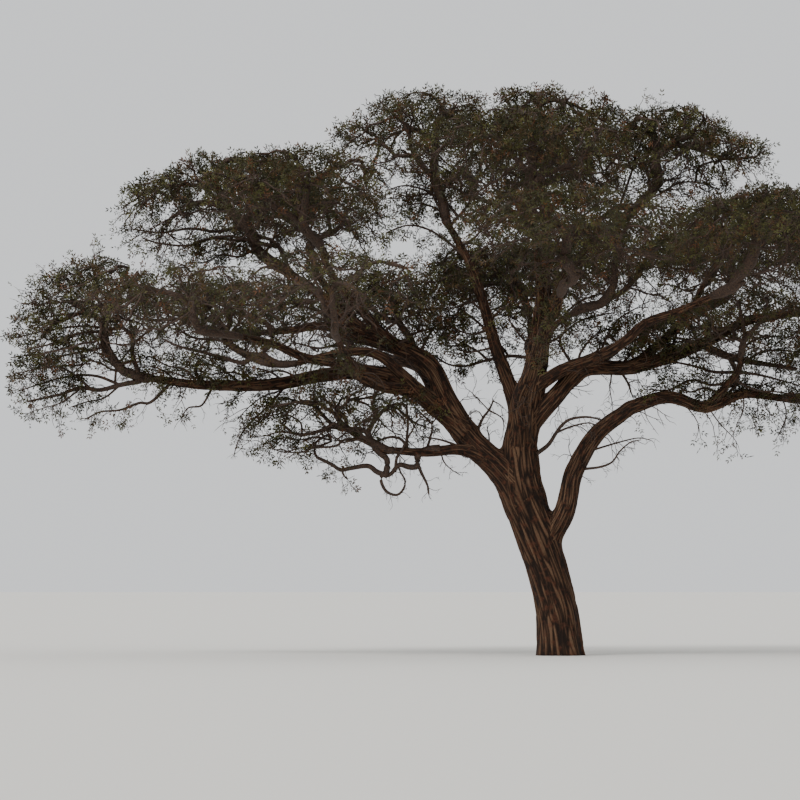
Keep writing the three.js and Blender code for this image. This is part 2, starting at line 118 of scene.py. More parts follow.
BOUGHS = [
    Bough("high_left", "trunk", 0.62, (0.3, 0.075),
          [(-1.55, -0.05, 4.2), (-2.05, -0.08, 4.83), (-2.4, -0.05, 5.45), (-2.85, 0, 6.08),
           (-3.75, 0.1, 6.62), (-4.6, 0.12, 7.1), (-5.15, 0.08, 7.75)],
          (-7.05, 0, 9.3), (2.5, 1.9, 1.25)),
    Bough("far_left", "high_left", 0.265, (0.2, 0.075),
          [(-3.4, -0.2, 5.82), (-4.5, -0.3, 5.84), (-5.35, -0.25, 5.76), (-6.7, -0.15, 5.7), (-8, 0, 5.67)],
          (-9.85, 0, 6.85), (1.65, 2, 1.6)),
    Bough("mid_left", "far_left", 0.12, (0.13, 0.06),
          [(-3.8, -0.5, 6.26), (-4.6, -0.7, 6.32), (-5.15, -0.8, 6.02)],
          (-7, -0.4, 6.85), (1.95, 1.7, 1.1)),
    Bough("inner_left", "high_left", 0.4, (0.1, 0.05),
          [(-3.05, 0.5, 6.5)],
          (-3.5, 0.7, 7.2), (1.7, 1.5, 0.95)),
    Bough("left_front", "far_left", 0.3, (0.12, 0.06),
          [(-5.5, -1.5, 6.25), (-6.3, -2.5, 6.5)],
          (-7.9, -3.9, 7), (2.2, 2.05, 0.95)),
    Bough("left_back", "high_left", 0.52, (0.13, 0.06),
          [(-4.7, 1.4, 6.9), (-5.9, 2.5, 7)],
          (-7.9, 3.9, 7.25), (2.2, 2.05, 0.95)),
    Bough("high_left_front", "high_left", 0.6, (0.11, 0.055),
          [(-4.65, -1.1, 7.7), (-4.9, -2.1, 8.3)],
          (-5.5, -3.5, 9.25), (2.1, 1.9, 1.05)),
    Bough("high_left_back", "high_left", 0.7, (0.1, 0.055),
          [(-5.1, 1.2, 8), (-5.2, 2.2, 8.5)],
          (-5.5, 3.7, 9.25), (2.1, 1.9, 1.05)),
    Bough("low_left", "high_left", 0.11, (0.15, 0.07),
          [(-2, -0.3, 4.26), (-2.65, -0.4, 4.36), (-3.1, -0.4, 4.05), (-3.5, -0.4, 4.28)],
          (-4.5, -0.35, 4.8), (2.2, 1.4, 1.05)),
    Bough("top_left", "trunk", 0.9, (0.17, 0.065),
          [(-1.12, 0.05, 5.75), (-1.3, 0.05, 6.35), (-1.42, 0, 6.9), (-1.65, -0.05, 7.5),
           (-1.95, -0.05, 8.3)],
          (-2.85, 0, 10.6), (2.05, 1.9, 1.3)),
    Bough("top", "trunk", 0.985, (0.27, 0.08),
          [(-0.55, 0.05, 5.9), (-0.42, 0.1, 6.6), (-0.36, 0.12, 7.4), (-0.28, 0.15, 8.4)],
          (-0.3, 0.2, 10.6), (1.9, 1.9, 1.4)),
    Bough("top_right", "top", 0.42, (0.12, 0.06),
          [(0.35, 0.2, 8.3), (1.05, 0.15, 9)],
          (2.4, 0, 10.3), (2.15, 1.9, 1.25)),
    Bough("top_front", "top", 0.55, (0.11, 0.055),
          [(-0.5, -1, 8.6)],
          (-0.9, -3.7, 10), (2.4, 1.9, 1.1)),
    Bough("top_back", "top", 0.62, (0.11, 0.055),
          [(-0.3, 1.3, 8.8)],
          (-0.6, 3.9, 10), (2.4, 1.9, 1.1)),
    Bough("mid_front", "top", 0.14, (0.1, 0.05),
          [(-0.1, -0.7, 7)],
          (1.2, -1.9, 7.9), (2, 1.6, 1.15)),
    Bough("mid_back", "top", 0.2, (0.1, 0.05),
          [(-0.6, 0.95, 7.2)],
          (-1.35, 1.75, 7.65), (1.75, 1.6, 1.2)),
    Bough("front", "trunk", 0.8, (0.2, 0.07),
          [(-0.8, -1.3, 5.5), (-0.45, -2.9, 6.5)],
          (0, -6.2, 8.2), (2.4, 1.9, 1.1)),
    Bough("back", "trunk", 0.85, (0.2, 0.07),
          [(-0.6, 1.4, 5.8), (-0.5, 3, 6.7)],
          (-0.2, 6.2, 8.2), (2.4, 1.9, 1.1)),
    Bough("front_left", "far_left", 0.2, (0.13, 0.06),
          [(-4.1, -1.3, 5.7), (-4.4, -3, 6.05)],
          (-4.8, -5.9, 7.1), (2.3, 1.9, 1)),
    Bough("back_left", "high_left", 0.33, (0.13, 0.06),
          [(-3.1, 1.5, 6.15), (-3.8, 3.4, 6.5)],
          (-4.8, 5.9, 7.3), (2.3, 1.9, 1)),
    Bough("far_right", "trunk", 0.88, (0.2, 0.075),
          [(0.4, 0, 5.87), (1.2, 0, 6.03), (1.9, 0, 6.2), (2.55, 0.03, 6.4), (3.1, 0.04, 6.52),
           (3.7, 0.05, 6.95)],
          (6.4, 0.3, 8), (1.95, 2.3, 1.15)),
    Bough("right", "far_right", 0.45, (0.11, 0.055),
          [(2.75, 0.3, 7.2), (3.05, 0.3, 7.8)],
          (3.95, 0.2, 8.7), (2, 1.9, 1.2)),
    Bough("right_front", "top", 0.09, (0.14, 0.06),
          [(0.4, -0.6, 6.15), (1.2, -1.5, 6.4), (1.75, -2.2, 6.85)],
          (4.2, -4.3, 8.3), (2.4, 2.2, 1.15)),
    Bough("right_back", "far_right", 0.24, (0.13, 0.06),
          [(1.5, 1.1, 6.7), (2.1, 2.1, 7.1)],
          (4.2, 4.3, 8.4), (2.4, 2.2, 1.15)),
    Bough("right_arch", "trunk", 0.42, (0.23, 0.15),
          [(-0.08, -0.12, 2.62), (0.14, -0.15, 3.22), (0.31, -0.18, 3.87), (0.6, -0.2, 4.45),
           (1.01, -0.2, 4.87)],
          tip=(1.46, -0.2, 5.18)),
    Bough("far_right_low", "right_arch", 1, (0.15, 0.075),
          [(1.88, -0.2, 5.36), (2.32, -0.2, 5.38), (2.8, -0.15, 5.22), (3.35, -0.1, 5.28),
           (3.9, -0.1, 5.46), (4.5, -0.05, 5.36)],
          (6.3, 0.1, 6.2), (2.1, 2.2, 1.15)),
    Bough("right_low", "far_right_low", 0.5, (0.09, 0.05),
          [(3.66, -0.5, 5.85), (3.72, -0.95, 6.25)],
          (3.9, -1.4, 6.75), (1.9, 1.5, 0.9)),
]
MASSES = [bough for bough in BOUGHS if bough.centre]

ROOT_FLARE = {"swell": 0.16, "height": 0.42, "lobes": 5, "depth": 0.07, "turn": 0.6}
LEVEL_BELOW = 1.2  # height under which the trunk's cross-sections turn level, down to the flat cut
RING_STEP = 0.9  # length of bough to a point of its line
FEWEST_STEPS = 3  # between the points of a short bough's line
COLLAR = {"swell": 0.35, "length": 1.6}  # swelling at a bough's root, against its base radius
TAPER = 0.85
SWAY = 0.012  # sideways wander of a bough, as a share of its length
WAVES = (2, 3)  # waves of that wander, sideways and across
ENTRY = 0.82  # a bough ends at this share of the way from its mass's heart to the edge
HEART_DROP = 0.45  # the heart of a mass lies this share of its height below the centre

# How the foliage grows

# A stem runs on from the bough's tip, and then orders of twigs reach for points spread through the dome.
# Foot and waist are its radii at its first two places, against the bough's at its tip.
STEM = {"length": 0.75, "bend": 0.4, "sunk": 0.06, "foot": 0.96, "waist": 0.85}


class Order(NamedTuple):
    """Twigs of like size. Where density is set, the count goes by the cubic metres that a mass fills.
    Their targets lie out to spread, and between low and high, as shares of the mass's reach. Tufts is how
    deep the hollows between tufts reach into the mass."""

    spread: float
    low: float
    high: float
    bend: float
    count: int = 0
    density: float = 0
    crook: float = 0.05
    tufts: float = 0
    canopy: float = 1.3  # above 1, more of the twigs reach for the top than for the underside


ORDERS = [
    Order(spread=0.45, low=0, high=0.5, bend=0.4, count=3),
    Order(spread=0.74, low=-0.5, high=0.95, bend=0.2, count=6),
    Order(spread=0.86, low=-0.7, high=0.94, bend=0.35, density=1.7),
    Order(spread=0.93, low=-0.85, high=0.97, bend=0.35, density=6.5, tufts=0.2, canopy=1.5),
    Order(spread=0.97, low=-0.97, high=1, bend=0.3, density=27, crook=0.06, tufts=0.32, canopy=1.9),
]
TUFT_SIZE = 0.75
TUFT_LUMPS = 5  # how sharply the tufts stand out
WOOD_PLACES = 4  # places along each twig where finer ones may leave
WANDER = (1, 1, 0.7)  # a twig is less crooked up and down than sideways
SET_BACK = 0.4  # a twig leaves this share of its length nearer the root than the closest wood
DOME_EDGE = 1.0001  # depth at the edge of a mass's dome, with room for rounding
BORDER = 0.015  # from a mass to the border that it shares with the next
CLEARANCE = 0.03  # between a twig and any limb
FLATNESS = 1.9  # how much wider than high the masses are, when their borders are drawn
FULLNESS = 3  # power of the outward share in a mass's dome: above 2, its top is flatter than a ball's
CROWN_MIDDLE = {"place": (-0.8, 0), "radius": 3}  # masses nearer to it than the radius slope less
SHOULDER = {"height": 1.2, "slope": 0.95}  # a mass's top is no higher than a plane that falls outward
FIRST_SEED = 341  # of the first mass, with two for each
SILVER_SHARE = math.sqrt(2) - 1  # steps the heights of the twigs, so that they fill the whole dome
GOLDEN_TURN = math.pi * (3 - math.sqrt(5))

# The parts of the crown whose twigs, and whose leaves, are joined into one piece each
CROWN_PARTS = {
    "upper_left": ["high_left", "high_left_front", "high_left_back", "inner_left"],
    "lower_left": ["far_left", "mid_left", "left_front", "left_back", "low_left"],
    "middle": ["top_left", "top", "top_right", "mid_front", "mid_back"],
    "front": ["top_front", "front", "front_left", "right_front"],
    "back": ["top_back", "back", "back_left", "right_back"],
    "right": ["far_right", "right", "far_right_low", "right_low"],
}

# How leafy each mass is and how many fine twigs it has, where it isn't the usual 1
LEAFINESS = {"mid_front": 1.25, "mid_back": 1.25, "low_left": 0.6, "front_left": 0.5, "left_front": 0.5,
             "mid_left": 0.55, "left_back": 0.75, "back_left": 0.7, "far_left": 0.65}
TWIGGINESS = {"front_left": 0.6, "left_front": 0.6, "mid_left": 0.75, "left_back": 0.75, "back_left": 0.7,
              "far_left": 0.75}

# The reference view: the real size of one of its pixels at the trunk, the pixel of the trunk's foot, and the
# camera's place. Its middle looks at this X and height, over the trunk's foot.
VIEW = {"pixel": 0.021, "foot": (560, 655), "distance": 85, "eye": 1.4, "middle": (-3.36, 5.355)}


class SideBranch(NamedTuple):
    """A limb that shows in that view: its pixels from the carrying limb outward, how deep it starts, how much
    deeper it ends, its base radius, and the leafy share of its shoots."""

    pixels: list
    depth: float
    drift: float
    radius: float
    leafy: float


# Rows of these, by the part of the tree that they are in
SIDE_BRANCHES = {
    "in the forks": [
        ([(481, 444), (478, 431), (483, 418), (489, 410), (493, 401), (492, 397)], -0.1, 0, 0.044, 0),
        ([(489, 410), (498, 415), (503, 420), (504, 431)], -0.12, 0.1, 0.02, 0),
        ([(493, 401), (499, 404), (505, 409)], -0.1, 0, 0.015, 0),
        ([(489, 410), (480, 401), (470, 391), (464, 388)], -0.12, -0.1, 0.015, 0),
        ([(483, 418), (478, 411), (470, 414), (465, 418)], -0.12, -0.1, 0.014, 0),
        ([(489, 450), (489, 436), (487, 429), (490, 424)], 0.05, 0, 0.024, 0),
        ([(536, 454), (548, 445), (556, 433), (562, 425), (571, 419), (587, 417), (603, 420)],
         -0.1, -0.14, 0.05, 0),
        ([(556, 433), (570, 427), (587, 423), (600, 426)], -0.18, 0, 0.027, 0),
        ([(584, 469), (600, 467), (612, 462), (620, 451), (631, 442), (642, 440)], -0.2, -0.2, 0.03, 0),
        ([(593, 450), (620, 442), (639, 438), (653, 441)], -0.18, 0.18, 0.024, 0),
        ([(546, 410), (554, 405), (559, 407), (554, 418)], -0.05, -0.1, 0.017, 0),
    ],
    "under the right boughs": [
        ([(612, 369), (611, 380), (610, 390), (613, 406)], 0, -0.1, 0.02, 0),
        ([(620, 370), (628, 383), (631, 392), (634, 400)], 0, -0.15, 0.032, 0),
        ([(628, 383), (638, 380), (643, 389)], -0.06, 0, 0.014, 0),
        ([(742, 372), (715, 372), (694, 366), (672, 362), (655, 364)], -0.3, 0.2, 0.045, 0.8),
        ([(738, 380), (712, 385), (692, 380), (668, 390), (648, 389)], -0.3, 0.1, 0.04, 0.8),
        ([(722, 396), (705, 388), (690, 392), (676, 386)], -0.2, -0.2, 0.035, 0.7),
        ([(700, 350), (690, 341), (672, 336), (655, 327), (645, 318)], -0.05, -0.3, 0.035, 0.7),
        ([(672, 352), (660, 344), (652, 334), (640, 326)], -0.05, 0.2, 0.025, 0.4),
        ([(655, 358), (646, 349), (643, 338), (648, 328)], 0, 0.2, 0.02, 0.3),
        ([(706, 346), (718, 352), (731, 357), (747, 361), (772, 365), (799, 369)], 0, 0.1, 0.095, 0.6),
        ([(731, 357), (738, 378), (730, 392), (720, 403)], 0, -0.15, 0.06, 0.4),
        ([(757, 398), (758, 408), (753, 418), (757, 430)], -0.1, 0, 0.016, 0.2),
        ([(783, 400), (786, 410), (785, 420), (777, 438)], -0.1, 0.1, 0.018, 0.2),
        ([(797, 402), (794, 412), (797, 422)], -0.1, 0.1, 0.014, 0.4),
        ([(765, 398), (766, 408), (772, 416)], -0.1, -0.1, 0.014, 0.6),
        ([(776, 400), (778, 409), (788, 415)], -0.1, 0.1, 0.014, 0.6),
    ],
    "under the middle": [
        ([(388, 328), (404, 318), (424, 312), (448, 318)], -0.1, -0.4, 0.035, 0.8),
        ([(402, 342), (420, 331), (440, 328), (464, 324)], -0.1, 0.4, 0.03, 0.8),
        ([(494, 338), (478, 322), (462, 310), (446, 300)], 0, 0.4, 0.035, 0.8),
        ([(487, 314), (470, 301), (452, 291), (436, 290)], 0, -0.4, 0.03, 0.8),
        ([(600, 352), (608, 335), (620, 318), (640, 306)], -0.5, -0.2, 0.035, 0.8),
        ([(625, 345), (640, 331), (660, 322), (684, 318)], -0.6, -0.4, 0.035, 0.8),
        ([(552, 330), (572, 307), (592, 296), (612, 292)], 0.1, -0.4, 0.035, 0.8),
        ([(554, 340), (578, 322), (596, 316), (616, 312)], 0.1, 0.4, 0.03, 0.8),
        ([(672, 352), (678, 330), (690, 308), (700, 288)], 0, 0.3, 0.035, 0.8),
        ([(530, 345), (516, 330), (508, 314), (514, 298)], 0.2, 0.3, 0.03, 0.7),
        ([(544, 352), (528, 357), (510, 356), (488, 360), (466, 366), (448, 364), (432, 354)],
         0.2, 0.3, 0.045, 0.7),
        ([(488, 360), (476, 350), (462, 345), (448, 346), (438, 338)], 0.33, 0.2, 0.03, 0.8),
        ([(510, 356), (500, 345), (484, 338), (470, 340)], 0.3, 0.3, 0.03, 0.8),
        ([(565, 353), (560, 340), (566, 328), (560, 314)], 0, -0.3, 0.04, 0.5),
        ([(590, 357), (600, 347), (597, 337), (603, 326)], -0.4, 0.2, 0.03, 0.5),
    ],
    "under the middle, filling": [
        ([(640, 366), (632, 354), (640, 340), (652, 330), (668, 328)], 0, -0.3, 0.035, 0.9),
        ([(600, 369), (612, 352), (628, 342), (646, 344)], 0, 0.3, 0.03, 0.8),
        ([(580, 354), (592, 338), (606, 330), (622, 330)], -0.55, 0.3, 0.03, 0.9),
        ([(660, 358), (672, 344), (688, 340), (706, 332)], 0, -0.3, 0.03, 0.9),
        ([(700, 344), (690, 326), (676, 316), (660, 316)], 0, 0.3, 0.03, 0.9),
        ([(620, 366), (634, 352), (650, 350), (664, 344)], 0, 0.2, 0.028, 0.8),
        ([(488, 330), (472, 334), (458, 330), (446, 322)], 0, -0.3, 0.03, 0.8),
        ([(480, 300), (464, 304), (452, 308), (440, 304)], -0.05, -0.5, 0.03, 0.9),
        ([(497, 346), (482, 350), (468, 352), (454, 348)], 0, -0.2, 0.028, 0.7),
        ([(420, 356), (426, 340), (436, 326), (450, 318), (462, 312)], 0, -0.3, 0.035, 0.9),
    ],
    "into the window on the left": [
        ([(463, 262), (446, 240), (426, 228), (406, 225), (384, 233)], 0, -0.3, 0.035, 0.6),
        ([(452, 224), (438, 209), (420, 203), (398, 206)], 0, 0.3, 0.03, 0.7),
        ([(446, 204), (434, 194), (418, 187), (402, 185), (386, 190)], 0, -0.3, 0.03, 0.7),
        ([(472, 282), (456, 268), (440, 262), (424, 265)], 0, 0.3, 0.028, 0.6),
    ],
    "round the window on the left": [
        ([(470, 200), (456, 188), (440, 178), (424, 172), (408, 170)], 0, -0.4, 0.035, 0.9),
        ([(462, 182), (448, 170), (432, 162), (416, 160)], 0, 0.4, 0.03, 0.9),
        ([(458, 214), (444, 200), (428, 193), (410, 196), (396, 192)], 0, 0.5, 0.035, 0.9),
        ([(476, 236), (484, 226), (496, 222), (508, 212)], 0, -0.3, 0.03, 0.8),
        ([(470, 222), (480, 208), (490, 204), (500, 194)], 0, 0.3, 0.03, 0.8),
        ([(480, 280), (466, 274), (450, 276), (434, 282), (420, 280)], 0, -0.4, 0.035, 0.9),
        ([(482, 300), (470, 288), (456, 286), (442, 292)], 0, 0.4, 0.03, 0.9),
        ([(490, 322), (500, 310), (512, 306), (524, 300)], 0.1, -0.3, 0.03, 0.8),
        ([(340, 268), (352, 258), (366, 256), (380, 262)], 0, -0.4, 0.03, 0.8),
        ([(350, 286), (366, 276), (384, 274), (402, 280)], 0, 0.3, 0.035, 0.9),
    ],
    "along the top on the right": [
        ([(632, 172), (638, 150), (648, 131), (662, 118)], 0.1, -0.3, 0.035, 0.9),
        ([(650, 160), (666, 140), (684, 128), (698, 122)], 0.1, 0.3, 0.035, 0.9),
        ([(612, 160), (612, 140), (618, 122), (628, 112)], 0.1, 0.2, 0.03, 0.9),
        ([(604, 170), (598, 150), (600, 130), (608, 114)], 0.1, -0.3, 0.03, 0.9),
        ([(700, 166), (718, 160), (736, 158), (754, 162)], 0.1, -0.3, 0.03, 0.9),
        ([(660, 190), (680, 182), (702, 182), (722, 190)], 0.1, 0.3, 0.035, 0.9),
    ],
    "among the right ends": [
        ([(736, 352), (752, 341), (770, 336), (792, 338)], 0, -0.3, 0.035, 0.8),
        ([(735, 342), (720, 330), (704, 322), (690, 312)], 0, 0.3, 0.035, 0.8),
        ([(740, 374), (760, 375), (780, 380), (799, 385)], -0.3, 0.4, 0.035, 0.8),
        ([(736, 384), (756, 390), (778, 392), (799, 396)], -0.3, -0.1, 0.03, 0.8),
        ([(747, 361), (762, 352), (780, 350), (802, 353)], 0.1, 0.4, 0.035, 0.8),
        ([(712, 403), (726, 389), (742, 384), (762, 386)], -0.2, 0.5, 0.035, 0.8),
    ],
    "under the high left": [
        ([(272, 240), (240, 240), (212, 238), (188, 245), (160, 243), (140, 237)], 0, -0.4, 0.045, 0.8),
        ([(266, 230), (240, 228), (215, 231), (190, 228), (160, 232), (128, 228)], 0, 0.5, 0.045, 0.9),
    ],
    "the far left ends": [
        ([(122, 328), (100, 331), (76, 334), (50, 344), (24, 350)], -0.1, -0.4, 0.04, 0.9),
        ([(100, 347), (80, 352), (56, 358), (30, 372)], -0.1, 0.4, 0.035, 0.8),
        ([(120, 385), (96, 376), (70, 376), (40, 384), (16, 392)], 0, 0.5, 0.035, 0.8),
        ([(112, 296), (92, 288), (72, 281), (52, 277), (37, 274)], 0, 0.2, 0.03, 0.7),
        ([(106, 308), (84, 302), (60, 302), (38, 304), (20, 303)], 0, -0.4, 0.035, 0.7),
        ([(104, 318), (82, 314), (58, 315), (36, 318), (16, 320)], 0, 0.5, 0.03, 0.7),
        ([(104, 328), (80, 326), (56, 329), (34, 333), (14, 338)], 0, -0.2, 0.03, 0.7),
        ([(92, 348), (68, 348), (44, 353), (22, 356), (10, 358)], 0, 0.2, 0.03, 0.6),
        ([(82, 364), (60, 366), (38, 369), (14, 374)], 0, -0.3, 0.028, 0.6),
        ([(112, 288), (102, 276), (96, 264), (92, 254)], 0, 0.2, 0.026, 0.6),
    ],
    "loops and forks over the far left limb": [
        ([(296, 367), (281, 364), (268, 358), (263, 352), (271, 343), (271, 332), (265, 322), (252, 319),
          (231, 312), (208, 318), (198, 311)],
         -0.78, 0.1, 0.075, 0.35),
        ([(266, 354), (243, 352), (231, 346), (227, 332), (221, 322), (212, 312)], -0.75, -0.2, 0.055, 0.4),
        ([(263, 354), (251, 358), (243, 363), (227, 359), (202, 352), (178, 346), (161, 338)],
         -0.75, -0.3, 0.055, 0.5),
        ([(258, 352), (253, 338), (256, 328)], -0.75, 0.1, 0.022, 0.2),
        ([(209, 345), (206, 332), (211, 322)], -0.85, 0.1, 0.022, 0.3),
        ([(345, 342), (320, 348), (294, 343), (286, 348), (278, 341)], -0.5, -0.2, 0.032, 0.2),
        ([(318, 352), (308, 344), (314, 334), (320, 326), (330, 321)], -0.6, 0, 0.024, 0.3),
        ([(326, 346), (322, 335), (320, 326)], -0.5, 0, 0.022, 0.2),
        ([(141, 380), (137, 369), (132, 354), (132, 338), (122, 326), (116, 310), (108, 300)],
         0, -0.3, 0.065, 0.5),
        ([(132, 345), (143, 335), (154, 326), (160, 314)], -0.1, 0.2, 0.035, 0.6),
        ([(114, 382), (117, 366), (126, 354), (131, 346)], 0, -0.1, 0.03, 0.3),
        ([(118, 364), (106, 356), (100, 346), (92, 334), (80, 326)], -0.1, -0.3, 0.035, 0.6),
        ([(141, 381), (120, 385), (100, 390), (80, 388), (62, 394), (44, 398), (26, 402)],
         0, 0.3, 0.06, 0.6),
        ([(90, 388), (76, 376), (62, 368), (44, 366)], 0.1, -0.2, 0.035, 0.7),
        ([(200, 386), (196, 372), (198, 360), (190, 350)], -0.1, -0.3, 0.035, 0.4),
        ([(316, 301), (300, 303), (284, 303), (263, 313), (251, 320)], -0.1, -0.5, 0.05, 0.5),
        ([(280, 246), (256, 242), (232, 236), (208, 238), (190, 244)], 0, -0.3, 0.045, 0.6),
        ([(327, 262), (326, 250), (318, 240), (320, 228)], 0, -0.2, 0.035, 0.6),
        ([(262, 250), (240, 256), (222, 254), (204, 262), (184, 262)], -0.1, 0.3, 0.03, 0.6),
    ],
    "fine twigs over the far left limb": [
        ([(262, 384), (246, 376), (228, 372), (210, 374), (196, 368)], 0.1, -0.4, 0.03, 0.8),
        ([(240, 383), (226, 372), (208, 364), (190, 366), (172, 358)], 0, 0.5, 0.03, 0.8),
        ([(222, 383), (206, 377), (188, 378), (170, 372), (150, 374)], 0, -0.3, 0.028, 0.8),
        ([(196, 381), (184, 369), (168, 366), (150, 357), (138, 360)], 0, 0.4, 0.028, 0.8),
        ([(176, 381), (164, 371), (150, 366), (136, 368)], 0, -0.2, 0.024, 0.8),
        ([(282, 380), (270, 372), (256, 368), (242, 366)], -0.1, -0.3, 0.028, 0.7),
        ([(236, 364), (222, 360), (206, 357), (190, 352)], -0.8, -0.2, 0.02, 0.8),
        ([(300, 380), (286, 372), (272, 371), (258, 375), (246, 371)], -0.1, 0.5, 0.028, 0.7),
    ],
    "hanging under the far left limb": [
        ([(171, 386), (151, 402), (139, 403), (120, 410), (100, 412), (84, 420)], 0, -0.2, 0.04, 0.4),
        ([(214, 390), (202, 405), (188, 408), (180, 421)], 0, -0.2, 0.03, 0.2),
        ([(180, 386), (180, 396), (176, 404)], 0, 0.1, 0.014, 0.1),
        ([(120, 386), (104, 398), (86, 402), (68, 408)], 0.1, 0.2, 0.026, 0.5),
        ([(240, 388), (236, 397), (222, 404)], 0, -0.1, 0.014, 0.1),
        ([(80, 390), (62, 402), (44, 408), (30, 412)], 0.1, -0.2, 0.022, 0.6),
        ([(285, 386), (276, 397), (265, 409), (252, 421), (241, 435), (234, 454)], -0.1, -0.15, 0.03, 0.1),
        ([(276, 397), (268, 414), (258, 424), (246, 433), (236, 437)], -0.15, -0.15, 0.018, 0.2),
        ([(290, 386), (276, 392), (262, 397), (248, 408), (236, 421)], -0.1, -0.4, 0.024, 0.7),
    ],
    "the contorted low limbs on the left": [
        ([(440, 449), (428, 450), (418, 455), (417, 466), (409, 467), (399, 465), (391, 474), (384, 477)],
         -0.38, -0.04, 0.1, 0),
        ([(388, 476), (377, 472), (368, 466), (352, 468), (341, 470), (334, 466), (325, 461), (316, 456),
          (315, 444), (327, 434)],
         -0.42, -0.1, 0.062, 0.15),
        ([(385, 476), (387, 460), (378, 452), (370, 441), (366, 432), (357, 429), (345, 429), (334, 424),
          (325, 429), (309, 434), (295, 434), (288, 429), (280, 422)],
         -0.4, -0.3, 0.072, 0.45),
        ([(347, 428), (345, 418), (334, 407), (324, 399), (316, 390)], -0.45, 0.25, 0.055, 0.4),
        ([(364, 431), (365, 422), (375, 418), (386, 409), (399, 414), (406, 422)], -0.42, -0.2, 0.036, 0.3),
        ([(407, 449), (402, 440), (391, 437), (375, 441), (352, 440), (331, 441)], -0.4, 0.2, 0.034, 0.2),
        ([(407, 447), (407, 436), (408, 424), (407, 402), (410, 390)], -0.42, 0.1, 0.036, 0.3),
        ([(427, 449), (432, 431), (432, 424), (440, 414)], -0.38, 0.1, 0.032, 0.2),
        ([(432, 424), (424, 416), (416, 408), (410, 398)], -0.35, 0.2, 0.022, 0.4),
        ([(393, 466), (397, 457), (402, 450), (406, 441), (412, 431), (418, 420)], -0.4, -0.2, 0.036, 0.3),
        ([(390, 469), (381, 479), (386, 491), (397, 495), (404, 488), (405, 480), (401, 473), (398, 464)],
         -0.41, 0.02, 0.042, 0),
        ([(417, 462), (421, 472), (425, 480), (428, 487), (429, 497)], -0.4, 0, 0.042, 0),
        ([(343, 467), (343, 474), (349, 481)], -0.5, 0, 0.034, 0),
        ([(461, 447), (441, 440), (418, 436)], -0.3, -0.1, 0.03, 0),
        ([(330, 442), (318, 446), (300, 448), (284, 452), (270, 448)], -0.3, -0.2, 0.026, 0.5),
        ([(296, 434), (280, 432), (264, 436), (250, 436)], -0.6, -0.1, 0.024, 0.6),
        ([(300, 422), (284, 414), (268, 416), (250, 418)], -0.5, 0.1, 0.024, 0.6),
        ([(331, 440), (316, 437), (300, 440), (282, 438), (262, 444)], -0.5, 0.4, 0.026, 0.5),
        ([(440, 449), (444, 462), (452, 470), (462, 476)], -0.3, -0.1, 0.02, 0),
    ],
}


# Small helpers

TINY = 1e-9  # keeps a length of nothing from being divided by
STEEP = 0.9  # upward share of a way on, past which "up" is no use as a sideways axis


def seeded(seed):
    """Numbers between 0 and 1 that look random, and are the same on every run."""
    factor = 48271
    cycle = 2**31 - 1
    stride = 7919
    offset = 17
    state = seed * stride + offset
    while True:
        state = state * factor % cycle
        yield state / cycle


def mix(low, high, share):
    return low + (high - low) * share


def eased(share):
    """A share held between 0 and 1 that starts and ends gently."""
    held = np.clip(share, 0, 1)
    return held * held * (3 - 2 * held)


def unit(vectors):
    return vectors / np.maximum(np.linalg.norm(vectors, axis=-1, keepdims=True), TINY)


def linear(code):
    """An sRGB hex colour as linear red, green and blue."""
    channels = [int(code[k:k + 2], 16) / 255 for k in (1, 3, 5)]
    return [c / 12.92 if c <= 0.04045 else ((c + 0.055) / 1.055) ** 2.4 for c in channels]


def led_on(points):
    """Runs of points, each with one more at either end, straight on from the last two."""
    before = 2 * points[..., :1, :] - points[..., 1:2, :]
    after = 2 * points[..., -1:, :] - points[..., -2:-1, :]
    return np.concatenate([before, points, after], axis=-2)


def on_curve(points, span, share):
    """Places on Catmull-Rom curves through runs of points that are led on: a share of the way through a span
    between two of them."""
    p0, p1, p2, p3 = (points[..., span + k, :] for k in range(4))
    leaving = (p2 - p0) / 2
    arriving = (p3 - p1) / 2
    bend = 3 * (p2 - p1) - 2 * leaving - arriving
    return p1 + share * (leaving + share * (bend + share * (2 * (p1 - p2) + leaving + arriving)))


class SmoothLine:
    """A Catmull-Rom curve through points, read by its parameter or by its length."""

    DIVISIONS = 200

    def __init__(self, points):
        self.points = np.asarray(points, float)
        self.padded = led_on(self.points)
        self.shares = np.linspace(0, 1, self.DIVISIONS + 1)
        steps = np.linalg.norm(np.diff(self.at(self.shares), axis=0), axis=1)
        self.walked = np.concatenate([[0], np.cumsum(steps)])
        self.length = self.walked[-1]

    def at(self, shares):
        spans = len(self.points) - 1
        place = np.clip(np.asarray(shares, float) * spans, 0, spans)
        span = np.minimum(place.astype(int), spans - 1)
        return on_curve(self.padded, span, (place - span)[..., None])

    def share_at_length(self, shares):
        return np.interp(np.asarray(shares, float) * self.length, self.walked, self.shares)

    def at_length(self, shares):
        return self.at(self.share_at_length(shares))


def frames_along(points):
    """The way on and two sideways axes at each point, turned as little as possible from one to the next."""
    along = unit(np.vstack([points[1:2], points[2:], points[-1:]]) - np.vstack([points[:1], points[:-1]]))
    sides = []
    side = np.array([1.0, 0, 0]) if abs(along[0][2]) > STEEP else np.array([0, 0, 1.0])
    for way in along:
        side = unit(side - way * side.dot(way))
        sides.append(side)
    sides = np.array(sides)
    return along, sides, np.cross(sides, along)


# The lines of the limbs

TRUNK_LINE = SmoothLine([place[:3] for place in TRUNK])
TRUNK_RADII = SmoothLine([(place[3], 0, 0) for place in TRUNK])


def heart_of(bough):
    return np.array(bough.centre) - (0, 0, bough.reach[2] * HEART_DROP)


def entry_point(bough):
    if bough.tip:
        return np.array(bough.tip)
    heart = heart_of(bough)
    ray = np.array(bough.via[-1]) - heart
    depth = np.linalg.norm(ray / bough.reach)
    return heart + ray * min(1, ENTRY / depth)


